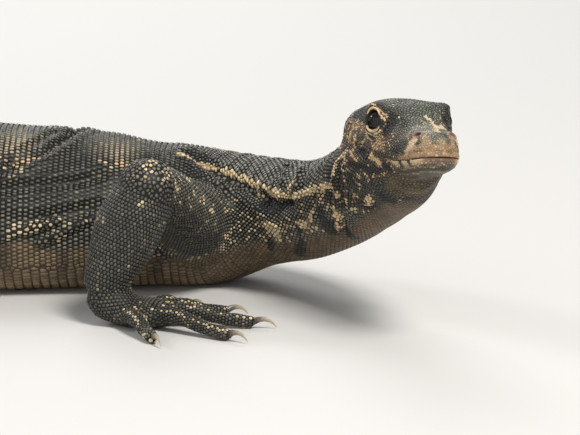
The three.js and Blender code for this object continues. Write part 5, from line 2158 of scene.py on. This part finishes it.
class Claws:
    """The five claws of one leg."""

    rings = 26
    sides = 18
    slim = 0.85

    def __init__(self, leg: Leg) -> None:
        """Keeps the leg."""
        self.leg = leg

    def nodes(self) -> list[str]:
        """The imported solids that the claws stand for."""
        return [f"{self.leg.name}_claw_{index + 1}" for index in range(TOES)]

    def build(self, material: Material) -> Object:
        """All five as one mesh."""
        parts = []
        for index in range(TOES):
            tube = self.leg.claw(index)
            tube.rows[:, 3:6] *= self.slim
            parts.append(tube.mesh(self.rings, self.sides))
        points, faces = as_one(parts)
        points[:, 2] = np.maximum(points[:, 2], FLOOR_CLEARANCE)
        piece = new_object(f"claws_{self.leg.name}", points, faces)
        along = np.repeat(np.linspace(0, 1, self.rings), self.sides)
        put_attribute(piece.data, "along", np.tile(along, TOES))
        piece.data.materials.append(material)
        return piece


# Floor, light and camera


@dataclass(frozen=True)
class Lamp:
    """A soft square light: where it hangs, what it points at, its side and power."""

    name: str
    place: tuple[float, float, float]
    target: tuple[float, float, float]
    side: float
    watts: float
    tint: tuple[float, float, float] = (1.0, 1.0, 1.0)

    def build(self) -> None:
        """Adds the light."""
        data = bpy.data.lights.new(self.name, "AREA")
        data.shape, data.size, data.energy, data.color = "SQUARE", self.side, self.watts, self.tint
        lamp = bpy.data.objects.new(self.name, data)
        lamp.location = self.place
        way = Vector(self.target) - Vector(self.place)
        lamp.rotation_euler = way.to_track_quat("-Z", "Y").to_euler()
        bpy.context.scene.collection.objects.link(lamp)


@dataclass(frozen=True)
class Studio:
    """Pale floor, soft light and the camera at the photograph's angle."""

    floor_side: float = 14.0
    paint: tuple = tinted(0.62, 0.61, 0.59)
    paint_roughness: float = 0.85
    sky: tuple = tinted(0.9, 0.91, 0.92)
    sky_strength: float = 0.42
    target: tuple[float, float, float] = (0.046, 0.0, 0.0292)
    distance: float = 1.4
    down: float = 11.0
    lens: float = 188.9
    sensor: float = 36.0
    clip: tuple[float, float] = (0.05, 60.0)
    lamps: tuple[Lamp, ...] = (
        Lamp("key", (0.7, -1.2, 1.8), (0.03, -0.1, 0.03), 0.6, 46.0, (1.0, 0.97, 0.93)),
        Lamp("fill", (-1.6, -1.7, 0.9), (0.0, 0.0, 0.04), 2.2, 12.0, (0.97, 0.98, 1.0)),
        Lamp("rim", (-0.2, 1.6, 1.2), (0.0, 0.0, 0.05), 0.9, 16.0),
        Lamp("glint", (-1.5, 0.63, 1.05), (0.09, -0.12, 0.09), 0.5, 10.0),
    )

    def build(self) -> None:
        """Adds all of it."""
        self._floor()
        self._world()
        for lamp in self.lamps:
            lamp.build()
        self._camera()

    def _floor(self) -> None:
        """A wide pale floor at height zero."""
        half = self.floor_side / 2 / MM
        corners = [(-half, -half, 0), (half, -half, 0), (half, half, 0), (-half, half, 0)]
        floor = new_object("floor", np.array(corners), [[0, 1, 2, 3]])
        material = bpy.data.materials.new("floor_paint")
        material.use_nodes = True
        Tree(material.node_tree).fill(material.node_tree.nodes["Principled BSDF"], {
            "Base Color": self.paint, "Roughness": self.paint_roughness})
        floor.data.materials.append(material)

    def _world(self) -> None:
        """Even pale light all round."""
        world = bpy.data.worlds.new("studio")
        world.use_nodes = True
        Tree(world.node_tree).fill(world.node_tree.nodes["Background"], {
            "Color": self.sky, "Strength": self.sky_strength})
        bpy.context.scene.world = world

    def _camera(self) -> None:
        """The camera, level from side to side and looking a little down."""
        data = bpy.data.cameras.new("camera")
        data.sensor_fit, data.sensor_width, data.lens = "HORIZONTAL", self.sensor, self.lens
        data.clip_start, data.clip_end = self.clip
        camera = bpy.data.objects.new("camera", data)
        tilt = math.radians(self.down)
        back = Vector((0, -math.cos(tilt), math.sin(tilt))) * self.distance
        camera.location = Vector(self.target) + back
        camera.rotation_euler = (-back).to_track_quat("-Z", "Y").to_euler()
        bpy.context.scene.collection.objects.link(camera)
        bpy.context.scene.camera = camera
        bpy.context.scene.view_settings.view_transform = "Standard"


# The whole lizard


class Lizard:
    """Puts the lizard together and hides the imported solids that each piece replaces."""

    def __init__(self) -> None:
        """Builds the body's shape and the finishes."""
        self.body = Body()
        self.markings = Markings(self.body)
        self.scale_finish = HideFinish("scale_keratin", 0.42, 0.02)
        # The skin's gap value darkens it under and between the scales as painted shade.
        self.skin_finish = HideFinish("skin", 0.5, 0.06, fine=0.3, broad=0.9, gap=0.45, specular=0.28)
        self.eye_finish = EyeFinish("eye_wet", 0.06)
        self.horn_finish = HornFinish("claw_horn", 0.3, 0.03)

    def build(self) -> None:
        """Builds hide, scales, eyes and claws."""
        hide = self._hide()
        self._scales(hide)
        self._eyes()
        self._claws()

    def _hide(self) -> Hide:
        """The skin, which stands for all solids of flesh."""
        hide = Hide(self.body)
        mesh = hide.piece.data
        marks = self.markings.of_skin(hide.points)
        put_attribute(mesh, "pigments", marks.colours())
        put_attribute(mesh, "blush", marks.blush)
        put_attribute(mesh, "tip", np.zeros(len(hide.points)))
        # Skin under the scales gets a low crown, which the colouring darkens as painted shade; solid marks
        # and even head marks keep it higher.
        covered = 1 - hide.bare
        soft = 0.62 * marks.even * smooth(40, 52, HeadAxes.into(hide.points)[:, 0])
        put_attribute(mesh, "crown", np.maximum(1 - 0.75 * covered, np.maximum(soft, 0.85 * marks.solid())))
        put_attribute(mesh, "chance", 0.35 + 0.3 * cloud(hide.points, 2.0, 51))
        mesh.materials.append(self.skin_finish.material())
        nodes = [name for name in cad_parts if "eye" not in name and "claw" not in name]
        self._settle(hide.piece, "hide", *nodes)
        return hide

    def _scales(self, hide: Hide) -> None:
        """The coat of scales."""
        material = self.scale_finish.material()
        for piece in Coat(self.body, hide, self.markings).plates():
            piece.data.materials.append(material)
            self._settle(piece, "hide")

    def _eyes(self) -> None:
        """Both eyeballs."""
        material = self.eye_finish.material()
        for name, side in SIDES.items():
            self._settle(Eyeball(f"eye_{name}", side).build(material), "eye", f"eye_{name}")

    def _claws(self) -> None:
        """All claws, five on each leg."""
        material = self.horn_finish.material()
        for leg in LEGS:
            claws = Claws(leg)
            self._settle(claws.build(material), "claw_horn", *claws.nodes())

    @staticmethod
    def _settle(piece: Object, slot: str, *nodes: str) -> None:
        """Makes a piece ride on the body and hides the solids that it replaces."""
        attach(piece, BODY)
        if nodes:
            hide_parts(*nodes)
        log.info("%s: %d faces", piece.name, len(piece.data.polygons))


def main() -> None:
    """Builds the lizard and the studio."""
    logging.basicConfig(level=logging.INFO, format="%(name)s: %(message)s")
    Studio().build()
    Lizard().build()


if __name__ == "__main__":
    main()
